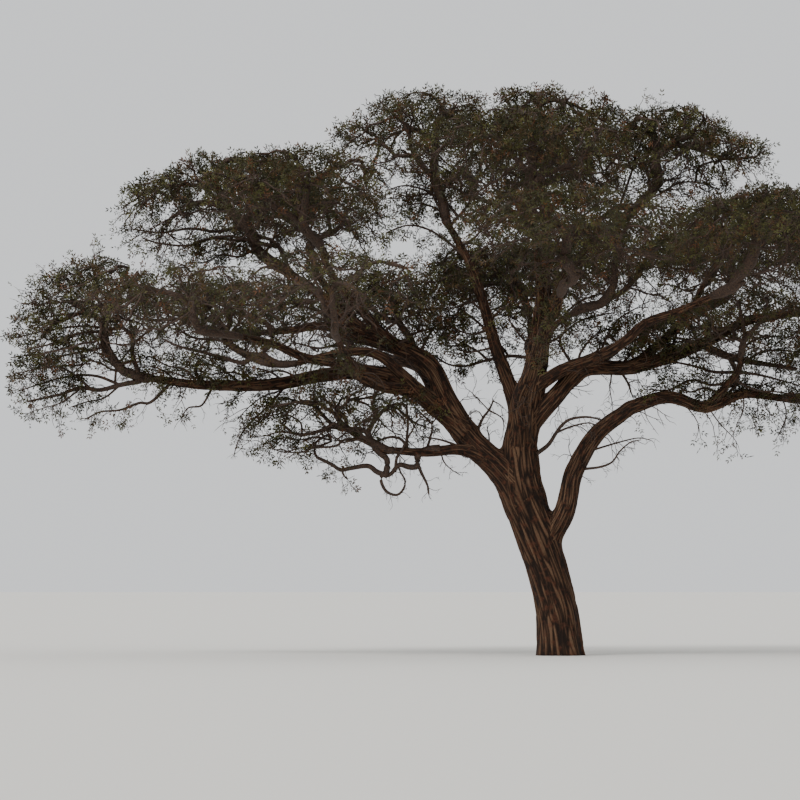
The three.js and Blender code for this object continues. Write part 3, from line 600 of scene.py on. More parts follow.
def bough_points(bough, parent_line, seed):
    """A smooth run of points through the bough's own that wanders a little sideways between its ends."""
    curve = SmoothLine([parent_line.at_length(bough.at), *bough.via, entry_point(bough)])
    steps = max(FEWEST_STEPS, math.floor(curve.length / RING_STEP + 0.5))
    shares = np.linspace(0, 1, steps + 1)
    points = curve.at_length(shares)
    _, sides, across = frames_along(points)
    random = seeded(seed)
    phases = [next(random), next(random)]
    sway = SWAY * curve.length * np.sin(np.pi * shares)
    sideways, crossways = (sway * np.sin(2 * np.pi * (waves * shares + phase))
                           for waves, phase in zip(WAVES, phases))
    return points + sides * sideways[:, None] + across * crossways[:, None]


@cache
def limb_lines():
    lines = {"trunk": TRUNK_LINE}
    for number, bough in enumerate(BOUGHS, start=1):
        lines[bough.name] = SmoothLine(bough_points(bough, lines[bough.parent], number))
    return lines


def bough_radii(bough, shares, length):
    base, tip = bough.radii
    collar = 0 if bough.at == 1 else COLLAR["swell"] * np.exp(-shares * length / (base * COLLAR["length"]))
    return mix(tip, base, (1 - shares) ** TAPER) * (1 + collar)


# A strand is a limb, or two that run on in one line, drawn as one skin of bark

STRAND_STEP = 0.04  # between the samples of a strand's line
JOINT_LENGTH = 0.35  # over which the radii of two limbs in one strand are evened out
BATCH = 4096  # places measured at a time, so that they take little memory
RUNS_ON = {"trunk": "top", "right_arch": "far_right_low"}


class Strand(NamedTuple):
    """A line of samples with a radius at each, and the limbs that it stands for."""

    limbs: list
    points: np.ndarray
    radii: np.ndarray
    walked: np.ndarray


def bough_named(name):
    return next(bough for bough in BOUGHS if bough.name == name)


def limb_samples(name):
    """Points and radii along one limb."""
    line = limb_lines()[name]
    if name == "trunk":
        shares = np.arange(0, bough_named(RUNS_ON["trunk"]).at, STRAND_STEP / line.length)
        places = line.share_at_length(shares)
        return line.at(places), TRUNK_RADII.at(places)[:, 0]
    bough = bough_named(name)
    shares = np.linspace(0, 1, round(line.length / STRAND_STEP) + 1)
    return line.at_length(shares), bough_radii(bough, shares, line.length)


def evened(radii, joint):
    """Radii with the step at a joint spread over the samples near it."""
    reach = round(JOINT_LENGTH / STRAND_STEP)
    padded = np.pad(radii, reach, mode="edge")
    smooth = np.convolve(padded, np.ones(2 * reach + 1) / (2 * reach + 1), mode="valid")
    share = eased(1 - np.abs(np.arange(len(radii)) - joint) / (2 * reach))
    return mix(radii, smooth, share)


@cache
def strands():
    found = []
    for name in ["trunk"] + [bough.name for bough in BOUGHS]:
        if name in RUNS_ON.values():
            continue
        points, radii = limb_samples(name)
        limbs = [name]
        if name in RUNS_ON:
            limbs.append(RUNS_ON[name])
            more_points, more_radii = limb_samples(RUNS_ON[name])
            joint = len(radii)
            points = np.vstack([points, more_points[1:]])
            radii = evened(np.concatenate([radii, more_radii[1:]]), joint)
        steps = np.linalg.norm(np.diff(points, axis=0), axis=1)
        found.append(Strand(limbs, points, radii, np.concatenate([[0], np.cumsum(steps)])))
    return found


def distance_from(strand, places):
    """How far places are outside a strand's surface, and the way straight out of it."""
    index = np.empty(len(places), int)
    for start in range(0, len(places), BATCH):
        part = places[start:start + BATCH]
        apart = ((part[:, None, :] - strand.points[None, :, :]) ** 2).sum(axis=2)
        index[start:start + BATCH] = apart.argmin(axis=1)
    index = np.clip(index, 1, len(strand.points) - 2)
    ahead = strand.points[index + 1] - strand.points[index - 1]
    share = ((places - strand.points[index - 1]) * ahead).sum(axis=1) / (ahead ** 2).sum(axis=1)
    share = np.clip(share, 0, 1)
    closest = strand.points[index - 1] + ahead * share[:, None]
    radius = mix(strand.radii[index - 1], strand.radii[index + 1], share)
    out = places - closest
    away = np.linalg.norm(out, axis=1)
    return away - radius, out / np.maximum(away, TINY)[:, None]


# The skin of bark

FILLET = 0.4  # size of the smooth web in a fork, against the thinner limb's base radius
SIBLING_FILLET = 0.3
WEB_ROUNDS = 3  # each brings the web closer to its true place
LEAST_SLOPE = 0.25  # keeps a round from moving a corner too far
CLEAR = 9.0  # in fillets: so far from any relative, or farther
SUNK = {"depth": 0.75, "fade": 0.5}  # in fillets: corners deeper in a relative stay where they are
SKIN_STEP = 0.015  # between corners round the thickest part of a strand
SKIN_RING = 0.055  # between rings of corners
FEWEST_SIDES = 32
FEWEST_RINGS = 12
TWIST = 0.22  # turn of the bark's plates round a limb, in radians to the metre

# Long hollows: their depth against the radius, and how many there are round a limb and to a metre of it.
# Apart keeps the hollows of one strand from being those of the next.
FLUTES = {"depth": 0.075, "around": 1.5, "along": 0.45, "apart": 11}

THICK_LIMB = 0.45  # radius that plate_width and relief are given for
WIDTH_POWER = 0.5  # power of a limb's radius that the width of its plates goes by
RELIEF_POWER = 0.75  # the same for the depth of its furrows
MIDDLE_HEIGHT = 0.6  # height of bark that lies at the limb's own radius

# How many times longer than wide the plates are, the share of the way across that their sloping edge takes,
# how crooked they are, how thick the thinnest is and how much the rest vary, and the fine strings on them
PLATES = {"stretch": 14, "edge": 0.42, "bend": 0.5, "bend_scale": Vector((0.5, 0.5, 1.5)),
          "thinnest": 0.8, "uneven": 0.2, "shuffle": 7.3,
          "strings": 0.16, "string_scale": Vector((3.1, 3.1, 1.1)), "apart": 7.7}


def related(strand):
    """The strands that this one leaves or that leave it, or that leave the same limb, with a fillet each."""
    parents = {bough.name: bough.parent for bough in BOUGHS}
    found = []
    for other in strands():
        if other is strand:
            continue
        child = parents.get(other.limbs[0]) in strand.limbs or parents.get(strand.limbs[0]) in other.limbs
        sibling = parents.get(other.limbs[0]) == parents.get(strand.limbs[0])
        size = min(other.radii[0], strand.radii[0])
        if child or sibling:
            found.append((other, size * (FILLET if child else SIBLING_FILLET)))
    return found


def merged_distance(first, second, fillet):
    """Distance and way out of two surfaces joined by a smooth web."""
    (a, a_out), (b, b_out) = first, second
    share = np.clip(0.5 + (b - a) / (2 * fillet), 0, 1)
    distance = mix(b, a, share) - fillet * share * (1 - share)
    return distance, mix(b_out, a_out, share[:, None])


def webbed(strand, places, out):
    """Places on a strand's surface moved out to a smooth web with its relatives, and the way out of it."""
    moved = places.copy()
    way = out.copy()
    for _ in range(WEB_ROUNDS):
        surface = ((moved - places) * out).sum(axis=1), out.copy()
        deepest = np.full(len(places), CLEAR)
        for other, fillet in related(strand):
            low = other.points.min(axis=0) - other.radii.max() - fillet
            high = other.points.max(axis=0) + other.radii.max() + fillet
            near = np.flatnonzero(((places > low) & (places < high)).all(axis=1))
            if not len(near):
                continue
            distance, other_out = distance_from(other, moved[near])
            before, _ = distance_from(other, places[near])
            deepest[near] = np.minimum(deepest[near], before / fillet)
            first = surface[0][near], surface[1][near]
            surface[0][near], surface[1][near] = merged_distance(first, (distance, other_out), fillet)
        slope = np.maximum((surface[1] ** 2).sum(axis=1), LEAST_SLOPE)
        moved = moved - surface[1] * (surface[0] / slope)[:, None]
        way = unit(surface[1])
    shown = eased((deepest + SUNK["depth"]) / SUNK["fade"])[:, None]
    return mix(places, moved, shown), unit(mix(out, way, shown))


def plate_height(place):
    """Height of the bark at a place in plates, from 0 in a furrow to 1 on a plate."""
    bent = place + PLATES["bend"] * noise.noise_vector(place * PLATES["bend_scale"])
    distances, centres = noise.voronoi(bent)
    slope = min(1, (distances[1] - distances[0]) / PLATES["edge"])
    plateau = slope * slope * (3 - 2 * slope)
    thickness = PLATES["thinnest"] + PLATES["uneven"] * noise.cell(centres[0] * PLATES["shuffle"])
    return plateau * thickness + PLATES["strings"] * noise.noise(bent * PLATES["string_scale"])


def root_swell(heights, out):
    """How much the trunk's foot swells in soft lobes, against its radius, at heights and ways out."""
    heading = np.arctan2(-out[:, 1], out[:, 0])
    lobes = ROOT_FLARE["depth"] * np.cos(ROOT_FLARE["lobes"] * heading + ROOT_FLARE["turn"])
    return (ROOT_FLARE["swell"] + lobes) * np.exp(-heights / ROOT_FLARE["height"])


def flute(turn, walked, number):
    """The long hollows' noise at one place of a strand."""
    return noise.noise(Vector((math.cos(turn) * FLUTES["around"], math.sin(turn) * FLUTES["around"],
                               walked * FLUTES["along"] + FLUTES["apart"] * number)))


def skin(strand, number, settings):
    """A closed mesh of one strand's bark, with its height and its straightened place as attributes."""
    around_count = max(FEWEST_SIDES, round(2 * math.pi * strand.radii[0] / SKIN_STEP))
    rings = max(FEWEST_RINGS, round(strand.walked[-1] / SKIN_RING))
    mesh = unit_tube(around_count, rings, f"bark_{strand.limbs[0]}")
    ring, turn, _ = rings_and_turns(mesh, rings)

    walked = np.linspace(0, strand.walked[-1], rings + 1)
    points = np.column_stack([np.interp(walked, strand.walked, strand.points[:, k]) for k in range(3)])
    radii = np.interp(walked, strand.walked, strand.radii)
    _, sides, across = frames_along(points)
    rooted = strand.limbs[0] == "trunk"
    if rooted:
        sides, across = levelled(points, sides, across)
    out = sides[ring] * np.cos(turn)[:, None] + across[ring] * np.sin(turn)[:, None]
    radius = radii[ring]
    swell = root_swell(points[ring, 2], out) if rooted else 0
    spun = turn - TWIST * walked[ring]
    flutes = np.array([flute(*spot, number) for spot in zip(spun, walked[ring])])
    places = points[ring] + out * (radius * (1 + swell + FLUTES["depth"] * flutes))[:, None]
    places, way = webbed(strand, places, out)

    widths = settings.plate_width * (radii / THICK_LIMB) ** WIDTH_POWER
    width = widths[ring]
    plates_along = np.cumsum(np.diff(walked, prepend=0) / (widths * PLATES["stretch"]))[ring]
    grain = np.column_stack([radius * np.cos(spun) / width, radius * np.sin(spun) / width,
                             plates_along + PLATES["apart"] * number])
    height = np.array([plate_height(Vector(place)) for place in grain])
    relief = settings.relief * (radius / THICK_LIMB) ** RELIEF_POWER
    places = places + way * ((height - MIDDLE_HEIGHT) * relief)[:, None]
    if rooted:
        places[:, 2] = np.where(ring == 0, 0, np.maximum(places[:, 2], 0))
    write_points(mesh, places)
    write_attribute(mesh, "height", "FLOAT", height)
    write_attribute(mesh, "grain", "FLOAT_VECTOR", grain * (1, 1, PLATES["stretch"]))
    smooth_shaded(mesh)
    return mesh


def levelled(points, sides, across):
    """The sideways axes of the trunk, turned level near the ground so that its foot is a flat cut."""
    share = (1 - eased(points[:, 2] / LEVEL_BELOW))[:, None]
    level_side = unit(sides * (1, 1, 0))
    level_across = np.cross(level_side, (0, 0, 1))
    return unit(mix(sides, level_side, share)), unit(mix(across, level_across, share))


# Meshes

def unit_tube(sides, rings, name, pointed=False):
    """A closed cylinder of radius and height 1 with its wall cut into rings. A pointed one has only triangles,
    and comes to a point at its top."""
    bm = bmesh.new()
    bmesh.ops.create_cone(bm, cap_ends=True, cap_tris=False, segments=sides, radius1=1, radius2=1, depth=1)
    lengthwise = [edge for edge in bm.edges if edge.verts[0].co.z != edge.verts[1].co.z]
    if rings > 1:
        bmesh.ops.subdivide_edges(bm, edges=lengthwise, cuts=rings - 1)
    if pointed:
        top = max(vert.co.z for vert in bm.verts)
        end = [vert for vert in bm.verts if vert.co.z == top]
        bmesh.ops.pointmerge(bm, verts=end, merge_co=(0, 0, top))
        bmesh.ops.triangulate(bm, faces=bm.faces)
    mesh = bpy.data.meshes.new(name)
    bm.to_mesh(mesh)
    bm.free()
    return mesh


def read_points(mesh):
    values = np.empty(len(mesh.vertices) * 3, np.float32)
    mesh.vertices.foreach_get("co", values)
    return values.reshape(-1, 3).astype(float)


def write_points(mesh, points):
    mesh.vertices.foreach_set("co", points.astype(np.float32).ravel())
    mesh.update()


def write_attribute(mesh, name, kind, values):
    layer = mesh.attributes.new(name, kind, "POINT")
    field = "value" if kind == "FLOAT" else "vector"
    layer.data.foreach_set(field, values.astype(np.float32).ravel())


def smooth_shaded(mesh):
    mesh.polygons.foreach_set("use_smooth", np.ones(len(mesh.polygons), bool))
    mesh.update()


def triangles_of(mesh):
    """The corners of a mesh's triangles, as an array of three columns."""
    faces = np.empty(len(mesh.polygons) * 3, np.int32)
    mesh.polygons.foreach_get("vertices", faces)
    return faces.reshape(-1, 3)


def rings_and_turns(mesh, rings):
    """The ring of each corner of a unit tube, its turn round the middle, and how far from there it is."""
    x, y, z = read_points(mesh).T
    return np.rint((z + 0.5) * rings).astype(int), np.arctan2(y, x), np.hypot(x, y)


def joined_mesh(name, parts):
    """One mesh of triangles from parts: each has corners, triangles, and a material number for each."""
    corners = np.vstack([part[0] for part in parts])
    starts = np.cumsum([0] + [len(part[0]) for part in parts[:-1]])
    faces = np.vstack([part[1] + start for part, start in zip(parts, starts)])
    tints = np.concatenate([part[2] for part in parts])
    mesh = bpy.data.meshes.new(name)
    mesh.vertices.add(len(corners))
    mesh.vertices.foreach_set("co", corners.astype(np.float32).ravel())
    mesh.loops.add(faces.size)
    mesh.loops.foreach_set("vertex_index", faces.astype(np.int32).ravel())
    mesh.polygons.add(len(faces))
    mesh.polygons.foreach_set("loop_start", np.arange(0, faces.size, 3, dtype=np.int32))
    mesh.polygons.foreach_set("material_index", tints.astype(np.int32))
    mesh.update(calc_edges=True)
    return mesh


def add_piece(mesh, materials, nodes=()):
    """Puts a mesh in the scene as a piece of the tree, in the place of the solids that it stands for."""
    for material in materials:
        mesh.materials.append(material)
    piece = bpy.data.objects.new(mesh.name, mesh)
    bpy.context.collection.objects.link(piece)
    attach(piece, BODY)
    if nodes:
        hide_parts(*nodes)


@cache
def tube_template(sides, rings):
    """A pointed tube's triangles, and the ring and the two sideways places of each of its corners."""
    mesh = unit_tube(sides, rings, "tube_template", pointed=True)
    triangles = triangles_of(mesh)
    ring, turn, spoke = rings_and_turns(mesh, rings)
    bpy.data.meshes.remove(mesh)
    return triangles, ring, np.cos(turn) * spoke, np.sin(turn) * spoke


def tubes(paths, radii, sides):
    """Many pointed tubes of one material, along paths with the same number of points, as a part of a mesh."""
    count, places, _ = paths.shape
    triangles, ring, cosine, sine = tube_template(sides, places - 1)
    along = unit(np.diff(paths, axis=1))
    along = np.concatenate([along[:, :1], unit(along[:, 1:] + along[:, :-1]), along[:, -1:]], axis=1)
    middle = unit(paths[:, -1] - paths[:, 0])
    level = np.where(np.abs(middle[:, 2:]) > STEEP, [[1.0, 0, 0]], [[0, 0, 1.0]])[:, None, :]
    side = unit(level - along * (level * along).sum(axis=2, keepdims=True))
    across = np.cross(along, side)
    corners = paths[:, ring] + radii[:, ring, None] * (
        side[:, ring] * cosine[None, :, None] + across[:, ring] * sine[None, :, None])
    offsets = (np.arange(count) * len(ring))[:, None, None]
    faces = (triangles[None] + offsets).reshape(-1, 3)
    return corners.reshape(-1, 3), faces, np.zeros(len(faces))


# Growing the wood of a mass

class Wood:
    """Places along the twigs of a mass, each with the place below it."""

    def __init__(self, start, room):
        self.points = np.zeros((room, 3))
        self.points[0] = start
        self.below = [-1]

    def add(self, root, path):
        numbers = []
        for point in path[1:]:
            self.points[len(self.below)] = point
            numbers.append(len(self.below))
            self.below.append(root)
            root = numbers[-1]
        return numbers

    def set_out(self, target):
        """The closest wood to a target, and then some way back towards the root."""
        apart = ((self.points[:len(self.below)] - target) ** 2).sum(axis=1)
        nearest = int(apart.argmin())
        limit = SET_BACK * math.sqrt(apart[nearest])
        walked = 0
        while self.below[nearest] > 0 and walked < limit:
            below = self.below[nearest]
            walked += float(np.linalg.norm(self.points[nearest] - self.points[below]))
            nearest = below
        return nearest


class Twig(NamedTuple):
    """A twig's path, the numbers of its places in the wood, and its order."""

    path: np.ndarray
    numbers: list
    order: int


def borders_of(mass):
    """The borders of a mass with every other, as outward ways and middles of planes."""
    squash = np.array([1, 1, FLATNESS])
    centre = np.array(mass.centre) * squash
    size = (mass.reach[0] + mass.reach[1]) / 2
    ways = []
    middles = []
    for other in MASSES:
        if other is mass:
            continue
        apart = np.array(other.centre) * squash - centre
        spacing = np.linalg.norm(apart)
        other_size = (other.reach[0] + other.reach[1]) / 2
        share = 0.5 + (size**2 - other_size**2) / (2 * spacing**2)
        ways.append(unit(apart / spacing * squash))
        middles.append((centre + apart * share) / squash)
    return np.array(ways), np.array(middles)


def top_share(mass, x, y):
    """The share of its dome's height that a mass keeps above places, as its top falls away outward."""
    outward = np.array(mass.centre[:2]) - CROWN_MIDDLE["place"]
    outward /= max(np.linalg.norm(outward), CROWN_MIDDLE["radius"])
    dome = np.sqrt(np.maximum(0, 1 - np.hypot(x, y) ** FULLNESS))
    plane = SHOULDER["height"] - SHOULDER["slope"] * (x * outward[0] + y * outward[1])
    return np.where(dome > 0, np.minimum(1, plane / np.maximum(dome, TINY)), 1)


def depth_in(mass, places):
    """How far out places are in a mass's dome: 0 at its middle, and 1 at its edge."""
    x, y, z = np.moveaxis((places - mass.centre) / mass.reach, -1, 0)
    height = np.where(z > 0, z / top_share(mass, x, y), z)
    return np.hypot(x, y) ** FULLNESS + height**2


def in_space(mass, borders, places):
    """Whether each place is inside a mass's dome and on its own side of every border."""
    inside = depth_in(mass, places) <= DOME_EDGE
    ways, middles = borders
    beyond = np.einsum("...k,bk->...b", places, ways) - (ways * middles).sum(axis=1)
    return inside & (beyond < -BORDER).all(axis=-1)


def targets_in(mass, order, turn):
    """Points spread evenly through the dome of a mass, in turns of the golden angle."""
    density = order.density * TWIGGINESS.get(mass.name, 1)
    count = order.count or round(density * 4 / 3 * math.pi * math.prod(mass.reach))
    number = np.arange(count)
    outward = np.sqrt((number + 0.5) / count) * order.spread
    angle = number * GOLDEN_TURN + turn
    lift = mix(order.high, order.low, (number * SILVER_SHARE % 1) ** order.canopy)
    x = outward * np.cos(angle)
    y = outward * np.sin(angle)
    rise = np.sqrt(1 - outward**FULLNESS) * lift * np.where(lift > 0, top_share(mass, x, y), 1)
    return np.column_stack([x, y, rise]) * mass.reach + mass.centre


def in_tufts(mass, order, places):
    """Whether each place is in a tuft of the mass and not in a hollow between two."""
    lumps = np.array([noise.noise(Vector(place) / TUFT_SIZE) for place in places])
    return depth_in(mass, places) < 1 + order.tufts * (TUFT_LUMPS * lumps - 1) / 2


@cache
def limb_tree():
    """The samples of all limbs, for finding the closest."""
    points = np.vstack([strand.points for strand in strands()])
    radii = np.concatenate([strand.radii for strand in strands()])
    tree = KDTree(len(points))
    for number, point in enumerate(points):
        tree.insert(point, number)
    tree.balance()
    return tree, radii


def clear_of_limbs(places):
    tree, radii = limb_tree()
    for place in places:
        _, number, distance = tree.find(place)
        if distance < radii[number] + CLEARANCE:
            return False
    return True


def bent_path(start, knee, end):
    """Places along a bend that leaves its start towards the knee, and comes to its end from there."""
    share = np.linspace(0, 1, WOOD_PLACES + 1)[:, None]
    return start * (1 - share) ** 2 + 2 * knee * share * (1 - share) + end * share**2


def twig_path(wood, root, target, order, random):
    """From one place in the wood to a target: it follows the wood, then bends away, a little crooked."""
    start = wood.points[root]
    reach = np.linalg.norm(target - start)
    onward = unit(start - wood.points[max(wood.below[root], 0)])
    path = bent_path(start, start + onward * order.bend * reach, target)
    path[1:-1] += random.normal(0, order.crook * reach, (WOOD_PLACES - 1, 3)) * WANDER
    return path


def stem_path(mass):
    """The stem goes on from the bough's tip and bends to the heart of the mass."""
    before, tip = limb_lines()[mass.name].points[-2:]
    onward = unit(tip - before)
    end = mix(tip, heart_of(mass), STEM["length"])
    knee = tip + onward * STEM["bend"] * np.linalg.norm(tip - end)
    return bent_path(tip - onward * STEM["sunk"], knee, end)


@cache
def grown(number):
    """The twigs of one mass, by its number, and the radius of the wood at each of its places."""
    mass = MASSES[number]
    turns = seeded(FIRST_SEED + 2 * number)
    random = np.random.default_rng(FIRST_SEED + 2 * number + 1)
    borders = borders_of(mass)
    targets = [targets_in(mass, order, next(turns) * 2 * math.pi) for order in ORDERS]
    path = stem_path(mass)
    wood = Wood(path[0], 2 + WOOD_PLACES * (1 + sum(len(group) for group in targets)))
    twigs = [Twig(path, wood.add(0, path), 0)]
    for level, (order, group) in enumerate(zip(ORDERS, targets), start=1):
        for target in group[in_space(mass, borders, group) & in_tufts(mass, order, group)]:
            root = wood.set_out(target)
            path = twig_path(wood, root, target, order, random)
            if not in_space(mass, borders, path[2]) or not clear_of_limbs(path[2:]):
                continue
            twigs.append(Twig(path, wood.add(root, path), level))
    return twigs, wood_radii(twigs, wood), sprays_on(mass, twigs, borders, random)


# Each twig of the last order bears a spray of finer ones. Sites are shares of its length, and spread is the
# usual angle from it in radians, times a number from the range. Scatter turns them out of the level.
SPRAY = {"sites": (0.35, 0.55, 0.75, 0.95), "length": (0.16, 0.36), "spread": 0.75, "range": (0.6, 1.3),
         "scatter": 0.45, "rise": 0.12, "crook": 0.012}
NEARLY_UP = (0.07, 0.03, 1.0)  # leans a little, so that no twig runs along it


def sprays_on(mass, twigs, borders, random):
    """The finest twigs, as paths: they fan out from those of the last order, more to the sides than up."""
    paths = np.array([twig.path for twig in twigs if twig.order == len(ORDERS)])
    sites = np.array(SPRAY["sites"])
    count = (len(paths), len(sites))
    root, way = along_paths(paths, np.tile(sites, (len(paths), 1)))
    hand = np.where((np.arange(len(sites)) + np.arange(len(paths))[:, None]) % 2, 1, -1)
    side = unit(np.cross(way, NEARLY_UP)) * hand[..., None] + random.normal(0, SPRAY["scatter"], (*count, 3))
    out = unit(side - way * (side * way).sum(axis=-1, keepdims=True))
    spread = SPRAY["spread"] * random.uniform(*SPRAY["range"], (*count, 1))
    ahead = unit(way * np.cos(spread) + out * np.sin(spread))
    length = random.uniform(*SPRAY["length"], (*count, 1))
    share = np.linspace(0, 1, WOOD_PLACES + 1)[:, None]
    lift = np.array([0, 0, SPRAY["rise"]]) * share**2
    fan = root[:, :, None] + (ahead[:, :, None] * share + lift) * length[:, :, None]
    fan[:, :, 1:] += random.normal(0, SPRAY["crook"], (*count, WOOD_PLACES, 3))
    fan = fan.reshape(-1, WOOD_PLACES + 1, 3)
    return fan[in_space(mass, borders, fan[:, -1])]


def along_paths(paths, shares):
    """The places at shares of the lengths of paths, a row of shares for each, and the ways on from there."""
    just_inside = 1e-6  # of the end, where the last stretch still counts
    place = np.clip(shares * WOOD_PLACES, 0, WOOD_PLACES - just_inside)
    span = place.astype(int)
    rows = np.arange(len(paths))[:, None]
    start = paths[rows, span]
    end = paths[rows, span + 1]
    return mix(start, end, (place - span)[..., None]), unit(end - start)


FINEST_RADIUS = 0.0042
GATHERING = 0.43  # a limb's radius goes by the number of twig tips that it bears, to this power


def wood_radii(twigs, wood):
    """The radius at each place in the wood, by the number of twig tips beyond it."""
    below = wood.below
    tips = np.zeros(len(below))
    for twig in twigs:
        tips[twig.numbers[-1]] += 1 + (twig.order == len(ORDERS)) * len(SPRAY["sites"])
    for number in range(len(below) - 1, 0, -1):
        tips[below[number]] += tips[number]
    return FINEST_RADIUS * np.maximum(tips, 1) ** GATHERING


# Drawing the twigs

class TwigForm(NamedTuple):
    """How twigs are drawn whose radius at the root is at least this."""

    radius: float
    sides: int
    rings: int


TWIG_FORMS = [TwigForm(0.028, 8, 8), TwigForm(0.014, 5, 6), TwigForm(0.0075, 4, 4), TwigForm(0.0045, 3, 3),
              TwigForm(0, 3, 1)]


def twig_parts(masses):
    """The twigs of some masses, as a part of a mesh for each form."""
    groups = {form: ([], []) for form in TWIG_FORMS}
    for mass in masses:
        twigs, radii, sprays = grown(MASSES.index(mass))
        finest = groups[TWIG_FORMS[-1]]
        finest[0].extend(sprays)
        finest[1].extend([np.full(WOOD_PLACES + 1, FINEST_RADIUS)] * len(sprays))
        for twig in twigs:
            own = radii[twig.numbers]
            own = np.concatenate([own[:1], own])
            if twig.order == 0:
                tip = mass.radii[1]
                own[:2] = tip * STEM["foot"], max(own[1], tip * STEM["waist"])
            form = next(form for form in TWIG_FORMS if own[0] >= form.radius)
            paths, widths = groups[form]
            paths.append(twig.path)
            widths.append(own)
    return [tubes(*resampled(np.array(paths), np.array(widths), form.rings), form.sides)
            for form, (paths, widths) in groups.items() if paths]


def resampled(paths, widths, rings):
    """Smooth curves through the places of many twigs, with the given number of rings."""
    place = np.linspace(0, WOOD_PLACES, rings + 1)
    span = np.minimum(place.astype(int), WOOD_PLACES - 1)
    share = place - span
    curves = on_curve(led_on(paths), span, share[:, None])
    return curves, mix(widths[:, span], widths[:, span + 1], share)


# Side branches, and short shoots along them and the boughs

CARRIER_STEPS = 40  # places along a side branch where thinner ones may start
SHORT_ROOT = 0.35  # a root closer than this share of the first stretch is moved, and a farther one is led on
BLUNT = 0.35  # radius at the tip of a side branch or shoot, against that at its root
SIDE_FORM = {"ring_step": 0.07, "fewest_rings": 6, "sides": 7}

# Shoots along a bough: the higher the power, the more of them are short. Growth is how long they are at the
# bough's root and at its tip, against the usual.
SHOOTS = {"spacing": 0.075, "from": 0.2, "length": (0.2, 1.2), "power": 1.5, "growth": (0.6, 1.1),
          "radius": 0.009}
LEAFY_FROM = (0.35, 0.9)  # shoots start to bear leaves at this share of a bough, and all do from there on

# Shoots stand in clusters along a bough, where the noise is above the least. Size is the length to a cluster.
CLUSTERS = {"size": 0.7, "least": -0.08, "apart": 5.3}

# Shoots along a side branch. Girth is its usual radius against that at its root, and ahead is the share of
# its length over which its way on is measured.
SIDE_SHOOTS = {"spacing": 0.08, "from": 0.25, "length": (0.08, 0.42), "leafy_length": 2.2, "girth": 0.5,
               "ahead": 0.01, "radius": 0.0075}

LEAVING = {"droop": 0.3, "sunk": 0.8, "outward": 0.7, "onward": 0.6}  # how a shoot leaves its limb
STOUTNESS = 0.55  # with a shoot's length in metres added, its radius against the usual
CROOK = 0.4  # how much a shoot turns from one piece to the next
SAG = 0.12  # how much each piece turns down
SHOOT_FORKS = [(1, 0.55), (2, 0.6), (3, 0.55)]  # places along a shoot where it may fork, and how often
FORK = {"scatter": 0.6, "length": (0.3, 0.7), "radius": 0.65}  # against the shoot that it leaves
LAST_FORK = {"chance": 0.6, "scatter": 0.7, "length": 0.25}  # from the middle of a fork
FINEST_SHOOT = 0.005
SHOOT_FORMS = [(6, 4), (4, 3), (3, 3)]  # rings and sides of a shoot, a fork and a last fork
STAND_OUT = 0.14  # how far a shoot may stand out of the solids' box


def seen_at(pixels, depths):
    """The real places of pixels of the reference view, at their depths behind the trunk."""
    across, down = np.transpose(pixels) - np.reshape(VIEW["foot"], (2, 1))
    scale = 1 + depths / VIEW["distance"]
    middle, _ = VIEW["middle"]
    x = middle + (across * VIEW["pixel"] - middle) * scale
    z = VIEW["eye"] + (-down * VIEW["pixel"] - VIEW["eye"]) * scale
    return np.column_stack([x, depths, z])


@cache
def side_lines():
    """The side branches as smooth lines, each with its base radius and the leafy share of its shoots. The
    thickest is placed first, and each starts inside the closest limb or side branch before it."""
    rows = [SideBranch(*row) for row in chain(*SIDE_BRANCHES.values())]
    carriers = np.vstack([strand.points for strand in strands()])
    radii = np.concatenate([strand.radii for strand in strands()])
    lines = {}
    for number in sorted(range(len(rows)), key=lambda number: -rows[number].radius):
        pixels, depth, drift, radius, leafy = rows[number]
        places = seen_at(pixels, depth + drift * np.linspace(0, 1, len(pixels)))
        away = np.linalg.norm(carriers - places[0], axis=1) - radii
        closest = away.argmin()
        if away[closest] > -radius / 2:
            gap = np.linalg.norm(carriers[closest] - places[0])
            keeps_root = gap > SHORT_ROOT * np.linalg.norm(places[1] - places[0])
            places = np.vstack([carriers[closest], places[0 if keeps_root else 1:]])
        line = SmoothLine(places)
        lines[number] = line, radius, leafy
        carriers = np.vstack([carriers, line.at_length(np.linspace(0, 1, CARRIER_STEPS))])
        radii = np.concatenate([radii, radius * np.linspace(1, BLUNT, CARRIER_STEPS)])
    return [lines[number] for number in range(len(rows))]


@cache
def bough_shoots():
    """Short crooked shoots that stand out from the boughs, in clusters, and their forks."""
    random = np.random.default_rng(FIRST_SEED)
    found = []
    for number, strand in enumerate(strands()):
        if strand.limbs[0] == "trunk":
            continue
        length = strand.walked[-1]
        for walked in np.arange(SHOOTS["from"] * length, length, SHOOTS["spacing"]):
            crowd = noise.noise(Vector((walked / CLUSTERS["size"], CLUSTERS["apart"] * number, 0)))
            if crowd < CLUSTERS["least"]:
                continue
            spot = min(round(walked / STRAND_STEP), len(strand.points) - 2)
            way = unit(strand.points[spot + 1] - strand.points[spot])
            outward = walked / length
            reach = mix(*SHOOTS["length"], random.random() ** SHOOTS["power"])
            reach *= mix(*SHOOTS["growth"], outward)
            leafy = random.random() < eased((outward - LEAFY_FROM[0]) / (LEAFY_FROM[1] - LEAFY_FROM[0]))
            limb = strand.points[spot], way, strand.radii[spot]
            found += shoot(*limb, reach, SHOOTS["radius"], leafy, random)
    return [part for part in found if near_solids(part.path)]


